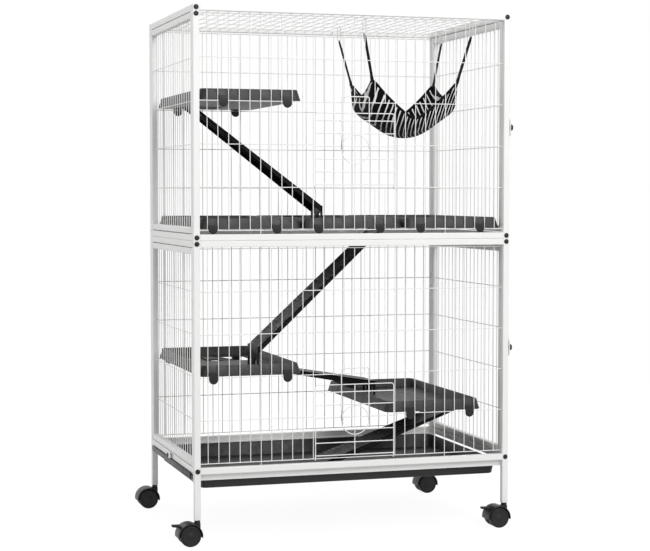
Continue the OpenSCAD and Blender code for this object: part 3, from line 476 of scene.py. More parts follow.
class CAGE_OT_stage(CageOperator, bpy.types.Operator):
    """Camera, plain floor and soft lamps"""

    bl_idname = "cage.stage"
    bl_label = "Stage"

    def execute(self, context):
        scene = context.scene
        scene.view_settings.view_transform = "Standard"
        lens = bpy.data.cameras.new("camera")
        lens.lens, lens.sensor_width, lens.sensor_fit = LENS, SENSOR, "HORIZONTAL"
        lens.clip_end = FAR
        eye = bpy.data.objects.new("camera", lens)
        eye.location = (EYE_X + MID_X, EYE_Y, EYE_Z)
        eye.rotation_euler = (math.pi / 2 - EYE_DOWN, 0, EYE_TURN)
        scene.collection.objects.link(eye)
        scene.camera = eye
        self.floor(scene)
        self.lamps(scene)
        return {"FINISHED"}

    def floor(self, scene):
        """A matt floor that the camera and reflections see mostly as white."""
        mesh = bpy.data.meshes.new("floor")
        corners = [(x * FLOOR_HALF, y * FLOOR_HALF, 0) for x, y in ((-1, -1), (1, -1), (1, 1), (-1, 1))]
        mesh.from_pydata(corners, [], [(0, 1, 2, 3)])
        made, tree, surface = node_tree("pale_floor")
        set_inputs(surface, Base_Color=(0.62, 0.62, 0.62, 1), Roughness=0.9)
        white = linked(tree, "ShaderNodeEmission", Color=(1, 1, 1, 1), Strength=FLOOR_GLOW).outputs[0]
        share = maths(tree, "MULTIPLY", self.seen(tree), FLOOR_SHARE)
        mixed = linked(tree, "ShaderNodeMixShader", _0=share, _1=surface.outputs[0], _2=white)
        tree.links.new(mixed.outputs[0], tree.nodes["Material Output"].inputs["Surface"])
        mesh.materials.append(made)
        made = bpy.data.objects.new("floor", mesh)
        scene.collection.objects.link(made)

    def seen(self, tree):
        """1 for a ray from the camera, in a reflection or through glass, otherwise 0."""
        path = tree.nodes.new("ShaderNodeLightPath")
        both = linked(tree, "ShaderNodeMath", _0=path.outputs["Is Camera Ray"], _1=path.outputs["Is Glossy Ray"])
        made = linked(tree, "ShaderNodeMath", _0=both.outputs[0], _1=path.outputs["Is Transmission Ray"])
        both.use_clamp = made.use_clamp = True
        return made.outputs[0]

    def lamps(self, scene):
        world = bpy.data.worlds.new("studio")
        scene.world = world
        world.use_nodes = True
        tree = world.node_tree
        light = tree.nodes["Background"]
        set_inputs(light, Color=(1, 1, 1, 1), Strength=SKY_LIGHT)
        white = linked(tree, "ShaderNodeBackground", Color=(1, 1, 1, 1), Strength=1.0).outputs[0]
        mixed = linked(tree, "ShaderNodeMixShader", _0=self.seen(tree), _1=light.outputs[0], _2=white)
        tree.links.new(mixed.outputs[0], tree.nodes["World Output"].inputs["Surface"])
        for name, place, turn, size, power in (
            ("key", (0.9, -3.6, 2.7), (60, 0, 14), 2.2, 95),
            ("left", (-3.3, -0.8, 1.9), (78, 0, -76), 1.6, 22),
            ("top", (0.0, 0.0, 3.6), (0, 0, 0), 2.6, 40),
        ):
            lamp = bpy.data.lights.new(name, "AREA")
            lamp.size, lamp.energy = size, power
            made = bpy.data.objects.new(name, lamp)
            made.location = place
            made.rotation_euler = [math.radians(k) for k in turn]
            scene.collection.objects.link(made)


# ---- Frame and fixings ----


class CAGE_OT_frame(CageOperator, bpy.types.Operator):
    """Powder coat on the square tubes, and the round caps over their bolts"""

    bl_idname = "cage.frame"
    bl_label = "Frame"

    def execute(self, context):
        tubes = [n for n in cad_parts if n.startswith("post_") or n.endswith(("_rail", "_rails"))]
        repaint("powder", *tubes, "tray_guides")
        repaint("zinc", "panel_pins")
        repaint("fitting", "caster_stems")
        self.caps()
        return {"FINISHED"}

    def caps(self):
        """Screw caps: a low dome of radius 6 mm with a shallow rim over a shank, and one over the tray stop's sleeve."""
        dome = mm((3, -20), (3, 0), (5.4, 0), (6, 0.3), (6, 0.7), (5.5, 1.4), (4.2, 1.8), (2.2, 1.95), (0, 2))
        sleeve = mm((2.5, -11.8), (2.5, -6.8), (4, -6.7), (4, -2.7), (2.5, -2.6))
        top, bottom, mid = (float(middle(f"front_{n}")[2]) for n in ("top_rail", "bottom_rail", "mid_rails"))
        levels = (top, bottom, mid - TUBE / 2, mid + TUBE / 2)
        places = [(sx, sy, z) for sx in (-1, 1) for sy in (-1, 1) for z in levels]
        places.append((-1, -1, float(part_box("post_front_left")[1][2]) - 1.5 * TUBE))
        face = POST_Y + TUBE / 2
        shapes = [turned(dome, (MID_X + sx * POST_X, sy * face, z), BACK * sy, 32) for sx, sy, z in places]
        (x0, y0, z0), (x1, y1, z1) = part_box("tray_stop")
        at = (x0 - 0.0003, y1 - 0.006, (z0 + z1) / 2)
        shapes.append(turned(np.concatenate([sleeve, dome[2:]]), at, -RIGHT, 32))
        piece("screw_caps", joined(*shapes), "fitting", "frame", ["frame_screws"])


# ---- Wire mesh ----


class CAGE_OT_mesh(CageOperator, bpy.types.Operator):
    """Round welded wires of the top, the front and the back"""

    bl_idname = "cage.mesh"
    bl_label = "Mesh"

    def execute(self, context):
        r, weld = self.sizes.wire / 2, self.sizes.weld
        line = np.outer(column(np.arange(1, COLUMNS)) - TOP_SHIFT, RIGHT) + UP * TOP_MESH_Z
        deep = rods(line - BACK * HALF_Y, line + BACK * HALF_Y, r)
        line = np.outer((np.arange(TOP_ROWS) - TOP_ROWS // 2) * ROW, BACK) + (MID_X, 0, TOP_MESH_Z - weld)
        cross = rods(line - RIGHT * HALF_X, line + RIGHT * HALF_X, r)
        piece("top_wires", joined(deep, cross), "wire", "frame", ["top_mesh"])
        for side, storey, z0, door in (
            ("front", "upper", UP_ROW, 1),
            ("front", "lower", LOW_ROW, 0),
            ("back", "upper", UP_ROW, None),
            ("back", "lower", LOW_ROW, None),
        ):
            node = f"{side}_{storey}_mesh"
            piece(f"{side}_{storey}_wires", self.panel(node, z0, door, r, weld), "wire", "frame", [node])
        return {"FINISHED"}

    def panel(self, node, z0, door, r, weld):
        """Cross wires at each row and upright wires at each column.

        With a door, an opening from row door, two rows high and four columns to each side, has neither inside.
        """
        y = float(middle(node)[1])
        back = y - math.copysign(weld, y)
        low, high = (float(corner[2]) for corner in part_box(node))
        levels = mesh_levels(z0)
        left, right, half = MID_X - HALF_X, MID_X + HALF_X, DOOR_COLUMNS * PITCH
        starts, ends = [], []

        def wire(start, end):
            starts.append(start)
            ends.append(end)

        for j, z in enumerate(levels):
            if door is not None and j == door + 1:
                wire((left, y, z), (MID_X - half, y, z))
                wire((MID_X + half, y, z), (right, y, z))
            else:
                wire((left, y, z), (right, y, z))
        for i in range(1, COLUMNS):
            x = column(i)
            z1, z2 = (low, high) if i in LONG_WIRES else (levels[0] - r, levels[-1] + r)
            if door is not None and abs(i - COLUMNS / 2) < DOOR_COLUMNS:
                if door > 0:
                    wire((x, back, z1), (x, back, levels[door] + r))
                z1 = levels[door + 2] - r
            wire((x, back, z1), (x, back, z2))
        return rods(starts, ends, r)


# ---- Side panels and side doors ----


class CAGE_OT_side_panels(CageOperator, bpy.types.Operator):
    """Framed panels on the left and framed doors on the right"""

    bl_idname = "cage.side_panels"
    bl_label = "Side panels and doors"

    def execute(self, context):
        for name, node, z0, body in (
            ("left_upper", "left_upper_panel", UP_ROW, "frame"),
            ("left_lower", "left_lower_panel", LOW_ROW, "frame"),
            ("upper_side_door", "upper_side_door", UP_ROW, "upper_side_door"),
            ("lower_side_door", "lower_side_door", LOW_ROW, "lower_side_door"),
        ):
            piece(name + "_frame", self.tubes(node), "powder", body, [node])
            piece(name + "_wires", self.wires(node, z0), "wire", body)
        return {"FINISHED"}

    def tubes(self, node):
        """Two stiles and two rails of square tube with a bead of weld round each joint."""
        (x0, y0, z0), (x1, y1, z1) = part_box(node)
        x, h, lap = (x0 + x1) / 2, TUBE / 2, 0.0004
        levels, joints = (z0 + h, z1 - h), (y0 + TUBE, y1 - TUBE)
        shapes = [square_tube((x, y, z0), (x, y, z1)) for y in (y0 + h, y1 - h)]
        shapes += [square_tube((x, joints[0] - lap, z), (x, joints[1] + lap, z)) for z in levels]
        bead = np.insert(rounded(TUBE, TUBE, 0.001, 1), 1, 0, 1)
        shapes += [bent_wire(bead + (x, y, z), 0.0005, BACK, True, 6) for y in joints for z in levels]
        return joined(*shapes)

    def wires(self, node, row0):
        """Upright wires one eighteenth of the width apart and cross wires at each row, ending in the tubes."""
        r, bite = self.sizes.wire / 2, 0.001
        (x0, y0, z0), (x1, y1, z1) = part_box(node)
        x = (x0 + x1) / 2
        inner = x + math.copysign(self.sizes.weld, MID_X - x)
        ya, yb, za, zb = y0 + TUBE, y1 - TUBE, z0 + TUBE, z1 - TUBE
        line = np.outer(ya + (yb - ya) * np.arange(1, SIDE_COLUMNS) / SIDE_COLUMNS, BACK) + RIGHT * x
        upright = rods(line + UP * (za - bite), line + UP * (zb + bite), r)
        line = np.outer(mesh_levels(row0)[1:-1], UP) + RIGHT * inner
        return joined(upright, rods(line + BACK * (ya - bite), line + BACK * (yb + bite), r))


# ---- Front doors and their latches ----


class CAGE_OT_front_doors(CageOperator, bpy.types.Operator):
    """Two drop-down doors of bent wire with their sliding finger latches"""

    bl_idname = "cage.front_doors"
    bl_label = "Front doors"

    DOOR_Y, LATCH_Y, GUIDE_Y = -MESH_Y - 0.0027, -MESH_Y - 0.0054, -MESH_Y - 0.0068
    LEG_X = 0.035

    def execute(self, context):
        for which, hinge_z in (("upper", UP_ROW + ROW), ("lower", LOW_ROW)):
            node, latch = which + "_front_door", which + "_front_latch"
            width, top = float(span(node)[0]), float(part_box(node)[1][2])
            door = self.door(hinge_z, width / 2, top - hinge_z - 0.0012)
            piece(which + "_door_wires", door, "wire", node, [node])
            piece(which + "_finger_latch", self.latch(hinge_z), "wire", latch, [latch])
        return {"FINISHED"}

    def door(self, z, half, height):
        """One wire bent to three sides, with an eye round the hinge wire at each end, six cross wires and an upright."""
        r = self.sizes.door_wire / 2
        x, y, bend, eye_r = half - r, self.DOOR_Y, 0.0068, 0.00305
        eye = np.insert(arc(-MESH_Y, z, eye_r, 180, 505, 39), 0, x, 1)
        corner = np.insert(arc(x - bend, z + height - bend, bend, 0, 90, 10), 1, y, 1)
        right = np.concatenate([eye[::-1], [(x, y, z + 0.006), (x, y, z + height / 2)], corner])
        path = np.concatenate([right, right[::-1] * (-1, 1, 1)]) + RIGHT * MID_X
        sill, band, bays = 0.007, 0.018, 5
        levels = z + sill + np.arange(bays + 1) * (height - band - sill) / bays
        line = np.outer(levels, UP) + (MID_X, y, 0)
        cross = rods(line - RIGHT * x, line + RIGHT * x, r)
        foot = np.array([MID_X, y + 0.0004, z])
        upright = rods(foot + UP * (sill - r), foot + UP * height, r)
        guides = [self.guide(MID_X + s * self.LEG_X, k) for s in (-1, 1) for k in levels[4:]]
        return joined(bent_wire(path, r, (0.35, 1.0, 0.2)), cross, upright, *guides)

    def guide(self, x, z):
        """A staple of flat wire, 4 mm high, that stands round one leg of the latch."""
        inner, outer, high = 0.0015, 0.0029, 0.004
        foot, front = self.DOOR_Y - 0.00024, self.GUIDE_Y
        outline = mirrored([(outer - 0.0008, front - 0.0003), (outer, front + 0.0008), (outer, foot), (inner, foot),
                            (inner, front + 0.0013)])
        return plate(outline, high, 0.0003, (x, 0, z - high / 2), LEVEL, 2)

    def latch(self, z):
        """A finger ring of radius 35 mm with two legs up to a cross bar, of one thickness of wire."""
        r = self.sizes.door_wire / 2
        y, ring_z, bar_z, bend = self.LATCH_Y, z + 0.0915, z + 0.218, 0.004
        loop = np.insert(arc(MID_X, ring_z, self.LEG_X, 0, 355, 71), 1, y, 1)
        corner = arc(self.LEG_X - bend, bar_z - bend, bend, 0, 90, 8)
        legs = mirrored(np.concatenate([[(self.LEG_X, ring_z), (self.LEG_X, ring_z + 0.05)], corner]))
        legs = np.insert(legs + (MID_X, 0), 1, y, 1)
        return joined(bent_wire(loop, r, BACK, True), bent_wire(legs, r, BACK))


class CAGE_OT_side_latches(CageOperator, bpy.types.Operator):
    """Turn latches of the side doors and the stop of the tray"""

    bl_idname = "cage.side_latches"
    bl_label = "Latches"

    def execute(self, context):
        for which in ("upper", "lower"):
            bar, knob, body = (which + "_side_latch" + k for k in ("_bar", "_knob", ""))
            piece(which + "_turn_bar", self.bar(bar, 0.0006), "powder", body, [bar])
            piece(which + "_turn_knob", self.knob(bar, knob), "fitting", body, [knob])
        piece("stop_plate", self.bar("tray_stop", 0.0005), "powder", "tray_stop", ["tray_stop"])
        return {"FINISHED"}

    def bar(self, node, edge):
        """A flat bar with round ends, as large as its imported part."""
        thick, w, d = span(node)
        at = middle(node) - RIGHT * thick / 2
        return plate(rounded(w, d, min(w, d) / 2 - 0.0005, 10), float(thick), edge, at, SIDEWAYS)

    def knob(self, bar, knob):
        """A pin from inside the post, a washer between post and bar, and a knob with a hollow face before the bar."""
        face = MID_X + POST_X + TUBE / 2
        near, far = (float(corner[0]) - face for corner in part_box(bar))
        root, tip = (float(corner[0]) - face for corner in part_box(knob))
        profile = [(0, root), (0.0025, root), (0.0025, 0.0001), (0.005, 0.0001), (0.005, near), (0.0025, near),
                   (0.0025, far), (0.0072, far), (0.008, far + 0.0008), (0.008, tip - 0.002), (0.0076, tip - 0.001),
                   (0.0066, tip - 0.0003), (0.0040, tip), (0.0036, tip - 0.0004), (0, tip - 0.0004)]
        return turned(profile, (face, *middle(bar)[1:]), RIGHT, 48)


# ---- Shelves ----

# Middle of each ramp opening, from the middle of its shelf
HOLES = {
    "upper_left_shelf": (-0.0375, 0.150),
    "mid_centre_shelf": (0.0375, -0.150),
    "lower_left_shelf": (0.0375, 0.150),
    "lower_right_shelf": (0.0375, -0.150),
}
HOLE_SIZE = (0.115, 0.120)


def rays_to(outline, centre, loop):
    """For each point of loop, the point of the outline on the ray from centre towards it."""
    ray = loop - centre
    angle = np.arctan2(ray[:, 1], ray[:, 0])
    side = np.roll(outline, -1, 0) - outline
    dense = np.concatenate([outline + side * k for k in np.linspace(0, 1, 30, endpoint=False)]) - centre
    at, far = np.arctan2(dense[:, 1], dense[:, 0]), np.hypot(dense[:, 0], dense[:, 1])
    order = np.argsort(at)
    far = np.interp(angle, at[order], far[order], period=2 * np.pi)
    return centre + far[:, None] * np.stack([np.cos(angle), np.sin(angle)], -1)


class CAGE_OT_shelves(CageOperator, bpy.types.Operator):
    """Six moulded shelves with a raised rim, four of them with a ramp opening"""

    bl_idname = "cage.shelves"
    bl_label = "Shelves"

    def execute(self, context):
        for side in ("upper_left", "mid_left", "mid_centre", "mid_right", "lower_left", "lower_right"):
            node = side + "_shelf"
            size = span(node)
            shape = moved(self.shelf(*size, HOLES.get(node)), middle(node) - UP * size[2] / 2)
            piece(side + "_tray", shape, "shelf", "frame", [node], angle=32)
        return {"FINISHED"}

    def shelf(self, w, d, h, hole):
        """Loops of a rounded rectangle go up the leaning outer wall, over the rim and down the inner wall to the floor.

        With a hole they go on to its edge and back under the floor. Each (k, z) is a loop inset by k at height z.
        """
        lean, rim, floor, corner, chamfer = 0.007, 0.0035, 0.003, 0.018, 0.0003
        wall, foot = lean + rim, 2 * lean + rim

        def loop(k, r):
            return rounded(w - 2 * k, d - 2 * k, max(r, 0.004), 10, 6)

        outside = [(0.0006, 0.0), (0.0001, 0.0004), (0.0, 0.001),
                   (0.0068, h - 0.0012), (0.0071, h - 0.0004), (0.0077, h)]
        inside = [(wall - 0.0007, h), (wall - 0.0001, h - 0.0004), (wall + 0.0003, h - 0.0012),
                  (foot - 0.0022, floor + 0.0045), (foot - 0.0012, floor + 0.0015), (foot + 0.001, floor + 0.0003),
                  (foot + 0.003, floor)]
        walls = [(loop(k, corner - k / 2), z) for k, z in outside]
        walls += [(loop(k, corner - rim - (k - wall) / 2), z) for k, z in inside]
        if hole is None:
            return lofted(walls, True)
        inner, outer, centre = walls[-1][0], walls[0][0], np.array(hole)
        edge, wide = (
            rays_to(rounded(HOLE_SIZE[0] + 2 * k, HOLE_SIZE[1] + 2 * k, 0.008 + k, 8) + centre, centre, inner)
            for k in (0, chamfer)
        )
        walls += [((inner + edge) / 2, floor), (wide, floor), (edge, floor - chamfer), (edge, chamfer), (wide, 0.0),
                  ((outer + wide) / 2, 0.0)]
        return lofted(walls)


class CAGE_OT_clips(CageOperator, bpy.types.Operator):
    """Black clips that hook the shelves to the mesh"""

    bl_idname = "cage.clips"
    bl_label = "Shelf clips"

    def execute(self, context):
        shapes = []
        for cells, z, down in (
            ((2, 8), UP_ROW + 3 * ROW, 0.015),
            ((1, 7, 11, 17, 21, 27), UP_ROW, 0.0087),
            ((1, 8), LOW_ROW + 2 * ROW, 0.015),
            ((20, 26), LOW_ROW + ROW, 0.015),
        ):
            shapes += [self.clip(column(c + 0.5), sy, z, down) for sy in (-1, 1) for c in cells]
        piece("shelf_hooks", joined(*shapes), "fitting", "frame", ["shelf_clips"])
        return {"FINISHED"}

    def clip(self, x, sy, z, down):
        """A face plate with a round foot and two ears, and a tongue that reaches in over the wire."""
        half, up, top, ear = 0.011, 0.013, 0.015, 0.003
        ears = [(half, top), (half - ear, top), (half - ear, up)]
        outline = np.concatenate([arc(0, half - down, half, 180, 360, 16), mirrored(ears)])
        face = MESH_Y + 0.0012
        front = plate(outline, 0.0025, 0.0007, (x, sy * face, z), (-RIGHT * sy, UP, BACK * sy))
        shape = rounded(0.012, 0.0157, 0.002, 4)
        tongue = plate(shape, 0.0016, 0.0003, (x, sy * (face - 0.00765), z + 0.0012), LEVEL, 2)
        return joined(front, tongue)


# ---- Ramps ----


class CAGE_OT_ramps(CageOperator, bpy.types.Operator):
    """Four ramps with ridges, side flanges and a bent foot"""

    bl_idname = "cage.ramps"
    bl_label = "Ramps"

    def execute(self, context):
        for name, sx, foot, hook in (
            ("upper_ramp", 1, 0.0496, 0.040),
            ("middle_ramp", -1, 0.0605, 0.0125),
            ("lower_ramp", 1, 0.0348, 0.031),
            ("tray_ramp", -1, 0.0252, 0.0125),
        ):
            piece(name + "_plank", self.ramp(name, sx, foot, hook), "ramp", "frame", [name], angle=35)
        return {"FINISHED"}

    def ramp(self, node, sx, foot, hook):
        """A plank with cross grooves 0.7 mm * (1 - |sin|^0.35) deep, which stop short of its sides and ends.

        It has a level plate at the top, two flanges that deepen downwards, three ribs below and a foot plate
        with two round-topped notches. It falls to the right where sx is 1 and to the left where it is -1.
        """
        (x0, y0, z0), (x1, y1, z1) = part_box(node)
        thick, long, wide = 0.003, 0.432, y1 - y0
        fall = float(z1 - z0) - foot
        run = math.sqrt(long**2 - fall**2)
        slope = fall / run
        along, side = RIGHT * sx, BACK * sx
        at = np.array([x0 + hook if sx > 0 else x1 - hook, (y0 + y1) / 2, z1])

        grooves, cuts = 36, 12
        s = np.linspace(0, 1, grooves * cuts + 1)
        across = np.array([-0.5, -0.485, -0.47, 0.47, 0.485, 0.5])
        deep = 0.0007 * (1 - np.abs(np.sin(np.pi * s * grooves)) ** 0.35) * ((s >= 0.02) & (s <= 0.98))
        drop = deep[:, None] * (np.abs(across) < 0.48) + 0.0006 * (np.abs(across) == 0.5)
        line = np.outer(s, (run, 0, -fall))[:, None] + np.outer(across * wide, BACK)
        top = line - drop[..., None] * np.array([fall, 0, run]) / long
        sheet = np.concatenate([top, (line - UP * thick)[:, ::-1]], 1).reshape(-1, 3)
        shapes = [(placed(sheet, at, (along, side, UP)), capped(len(s), 2 * len(across)))]

        lap = 0.004
        shelf = rounded(hook + lap, wide, 0.002, 4)
        shapes.append(plate(shelf, thick, 0.0005, at + along * (lap - hook) / 2 - UP * thick, LEVEL, 2))
        flange = np.array([(0.0, -0.0012), (0.0, -0.007), (run, -fall - 0.016), (run + 0.0022, -fall - 0.014),
                           (run + 0.0022, -fall - 0.0016), (run, -fall - 0.0006)])
        for y in (-wide / 2, wide / 2 - 0.0025):
            shapes.append(plate(flange[::-sx], 0.0025, 0.0006, at + BACK * y, (along, UP, BACK)))
        rib = np.array([(x, -x * slope - k) for x, k in (
            (0.03, 0.003), (0.03, 0.0055), (run - 0.01, 0.0075), (run, 0.003))])
        for y in (-0.028, 0.0, 0.028):
            shapes.append(plate(rib[::-sx], 0.002, 0.0004, at + BACK * (y - 0.001), (along, UP, BACK), 2))
        notch_x, notch_r, notch_z = 0.028, 0.011, min(0.026, foot * 0.6) - 0.0055
        half = [(notch_x - notch_r, 0), *arc(notch_x, notch_z, notch_r, 180, 0, 12), (notch_x + notch_r, 0),
                (wide / 2, 0), (wide / 2, foot - 0.001), (wide / 2 - 0.001, foot)]
        low = at + along * run - UP * (fall + foot)
        shapes.append(plate(mirrored(half), thick, 0.0006, low, (side, UP, along)))
        return joined(*shapes)


# ---- Hammock ----


def power(t, n, soft):
    """|t|^n with its point rounded at t = 0."""
    return ((t * t + soft) ** (n / 2) - soft ** (n / 2)) / ((1 + soft) ** (n / 2) - soft ** (n / 2))


def tip(t, soft):
    """Falls from about 1 to 0 close to |t| = 1, so that a corner is round."""
    return 1 - np.exp((np.abs(t) - 1) / soft)


def run_along(points, axis):
    """Length of each grid line along the axis, up to each of its points."""
    steps = np.cumsum(np.linalg.norm(np.diff(points, axis=axis), axis=-1), axis=axis)
    return np.insert(steps, 0, 0, axis)


class CAGE_OT_hammock(CageOperator, bpy.types.Operator):
    """Striped cloth sling with its piping, straps and snap clips"""

    bl_idname = "cage.hammock"
    bl_label = "Hammock"

    LEFT, RIGHT_X, WIDE, TOP = 0.1001, 0.3296, 0.090, 1.1182
    MIDDLE, HALF = (LEFT + RIGHT_X) / 2, (RIGHT_X - LEFT) / 2
    CLIP_Z = TOP_MESH_Z + 0.0037

    def surface(self, u, v):
        """Sling with upright ends, |u| and |v| up to 1: depth below the corners = (1 - w) U + w V with w = |v|^14.

        U = s + (70 mm - s)(1 - u^8) + 68 mm (1 - |e|^1.9)(1 - 0.6 v^2), with the side edge
        s = 36 mm (1 - |v|^1.5) tip(v), and V = 92 mm (1 - |u|^1.2) tip(u) along the front and back edges.
        Its profile along u is e(u) = u ((1 + k^8) / (1 + (k u)^8))^(1/8), and turns into the straight edge by w.
        A wave of 1.2 mm lies over it, away from the edges.
        """
        k, side, wall, front, drop, draw = 1.5, 0.036, 0.070, 0.092, 0.138, 0.002
        w = np.abs(v) ** 14
        square = u * ((1 + k**8) / (1 + (k * u) ** 8)) ** 0.125
        edge = side * (1 - power(v, 1.5, 0.002)) * tip(v, 0.09)
        belly = (drop - wall) * (1 - power(square, 1.9, 0.001)) * (1 - 0.6 * v * v)
        bag = edge + (wall - edge) * (1 - u**8) + belly
        sag = (1 - w) * bag + w * front * (1 - power(u, 1.2, 0.008)) * tip(u, 0.07)
        x = MID_X + self.MIDDLE + self.HALF * ((1 - w) * square + w * u)
        lift = 0.0012 * np.sin(9 * u + 4 * v) * np.sin(7 * v - 3 * u) * (1 - u**4) * (1 - v**4)
        return np.stack([x, v * (self.WIDE - draw * (1 - u * u)), self.TOP - sag + lift], -1)

    def execute(self, context):
        n, thick, under, piping_r = 120, 0.0035, 0.0018, 0.0026
        t = np.sin(np.linspace(-np.pi / 2, np.pi / 2, n + 1))
        u, v = np.meshgrid(t, t, indexing="ij")
        flat = self.surface(u, v)
        du, dv = np.gradient(flat, axis=0), np.gradient(flat, axis=1)
        normal = unit(np.cross(du, dv))
        top = flat - UP * under
        points = np.concatenate([top.reshape(-1, 3), (top - normal * thick).reshape(-1, 3)])
        top_faces = np.array(grid_faces(n + 1, n + 1))
        index = np.arange((n + 1) ** 2).reshape(n + 1, n + 1)
        rim = np.concatenate([index[0], index[1:, -1], index[-1, -2::-1], index[-2:0:-1, 0]])
        after = np.roll(rim, -1)
        wall = np.stack([rim, rim + index.size, after + index.size, after], -1)
        faces = np.concatenate([top_faces, top_faces[:, ::-1] + index.size, wall]).tolist()

        run_u, run_v = run_along(flat, 0), run_along(flat, 1)
        end_u, end_v = run_u[-1:], run_v[:, -1:]
        uv = np.stack([run_u - end_u / 2, run_v - end_v / 2], -1).reshape(-1, 2)
        hem = np.minimum(np.minimum(run_u, end_u - run_u), np.minimum(run_v, end_v - run_v))
        values = (("stripe", np.tile(self.stripes(flat, v).ravel(), 2)), ("edge", np.tile(hem.ravel(), 2)))
        sling = piece("hammock_cloth", (points, faces), "cloth", "frame", ["hammock_sling"], 60,
                      np.concatenate([uv, uv]), values)
        edge = bent_wire((top - normal * thick / 2).reshape(-1, 3)[rim], piping_r, (0.1, 0, 0.9), True, 8)
        piping = piece("hammock_piping", edge, "strap", "frame", ())
        self.straps()
        self.clips()
        return {"FINISHED"}

    def stripes(self, flat, v):
        """Place across the stripes, which slant one way on the front half and the other way on the back half.

        They are closer together at the front right.
        """
        x, y, z = np.moveaxis(flat, -1, 0)
        rear = np.tanh(3 * v)
        lean_y, lean_z = 0.45 * (np.minimum(y, 0) + 0.09), 0.40 * (z - self.TOP + 0.1)
        along = x - MID_X - self.MIDDLE - lean_y + lean_z * rear
        return along * (0.84 - 0.16 * rear) + 1.1 * (1 - rear) * along**2

    def corners(self):
        """Place of each snap clip, with that of the sling's corner below it."""
        for wire, corner_x in ((18, self.LEFT + 0.001), (29, self.RIGHT_X - 0.001)):
            for sy in (-1, 1):
                hook = np.array([column(wire) - TOP_SHIFT, sy * 0.1055, self.CLIP_Z])
                yield hook, np.array([MID_X + corner_x, sy * (self.WIDE - 0.004), self.TOP - 0.005])

    def straps(self):
        """Each strap is a band 13 mm wide and 1.8 mm thick from its clip to its corner.

        It narrows at the clip, and is doubled over its last eighth at the corner.
        """
        s = np.linspace(0, 1, 25)[:, None]
        half = 0.0066 * (1 - 0.35 * np.exp(-((s / 0.05) ** 2)))
        thick = 0.0009 + 0.0007 * (s > 0.88)
        section = ((-1, -0.6), (-0.9, -1), (0.9, -1), (1, -0.6), (1, 0.6), (0.9, 1), (-0.9, 1), (-1, 0.6))
        shapes = []
        for hook, corner in self.corners():
            start = hook - UP * 0.0395
            ahead = unit(corner - start)
            turn = unit(BACK - RIGHT * (0.15 if corner[1] < 0 else 0.0))
            side = unit(turn - ahead * (ahead @ turn))
            face = np.cross(side, ahead)
            path = start + (corner - start) * s
            band = [path + side * half * p + face * thick * q for p, q in section]
            shapes.append((np.stack(band, 1).reshape(-1, 3), capped(len(s), len(section))))
        piece("hammock_straps_woven", joined(*shapes), "strap", "frame", ["hammock_straps"])

    def clips(self):
        """A snap clip is a long loop of 2.5 mm wire with a straight gate."""
        outline = np.insert(rounded(0.0085, 0.0375, 0.0042, 12), 1, 0, 1)
        shapes = []
        for hook, _ in self.corners():
            at = hook - UP * 0.020
            gate = at + RIGHT * 0.0042
            shapes.append(bent_wire(outline + at, 0.00125, BACK, True, 10))
            shapes.append(rods(gate - UP * 0.010, gate + UP * 0.009, 0.00128, 12))
        piece("snap_clips", joined(*shapes), "clip", "frame", ["hammock_clips"])


# ---- Litter tray ----


class CAGE_OT_tray(CageOperator, bpy.types.Operator):
    """Litter pan that slides in its guides"""

    bl_idname = "cage.tray"
    bl_label = "Litter tray"

    def execute(self, context):
        (x0, y0, z0), (x1, y1, z1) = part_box("litter_tray")
        lip, wide, high, short = 0.024, 0.464, 0.0365, 0.014
        long, mid = x1 - x0 - lip, (x0 + lip + x1) / 2
        # Insets at the ends and at the sides, and the height, of loops up the outer wall and down the inner one
        outer = mm((7, 11, 0), (5.2, 9.2, 0.6), (4.2, 8, 2.5), (0.3, 0.6, 33.5), (0, 0, 34.9), (0, 0, 36.1),
                   (0.4, 0.4, 36.5))
        inner = mm((2.6, 2.6, 36.5), (3, 3, 35.9), (6.6, 10.5, 6.5), (8, 12, 4), (10.5, 14.5, 3))
        loops = [(rounded(long - 2 * kx, wide - 2 * ky, corner - kx / 5, 12, 8), z)
                 for steps, corner in ((outer, 0.014), (inner, 0.011)) for kx, ky, z in steps]
        shapes = [moved(lofted(loops, True), (mid, 0, z0))]
        rim = mm((-11.5, 0), (-11.5, -2.8), (-1.4, -2.8), (-1.4, -11.9), (1.4, -11.9), (1.4, -0.6), (0.8, 0))
        for sy in (-1, 1):
            at = (mid - long / 2 + short, sy * 0.243, z0 + high)
            shapes.append(plate(rim[::-sy], long - 2 * short, 0.0004, at, (BACK * sy, UP, RIGHT), 2))
        front = mm((27, 0), (3, 0), (3, 2.1), (2.6, 2.5), (0.4, 2.5), (0, 2.1), (0, -10.1), (0.4, -10.5),
                   (2.6, -10.5), (3, -10.1), (3, -3), (27, -3))
        shapes.append(plate(front, 0.460, 0.0003, (x0, 0.230, z0 + high), FACING, 2))
        piece("litter_pan", joined(*shapes), "tray", "tray", ["litter_tray"], angle=32)
        return {"FINISHED"}


# ---- Casters ----


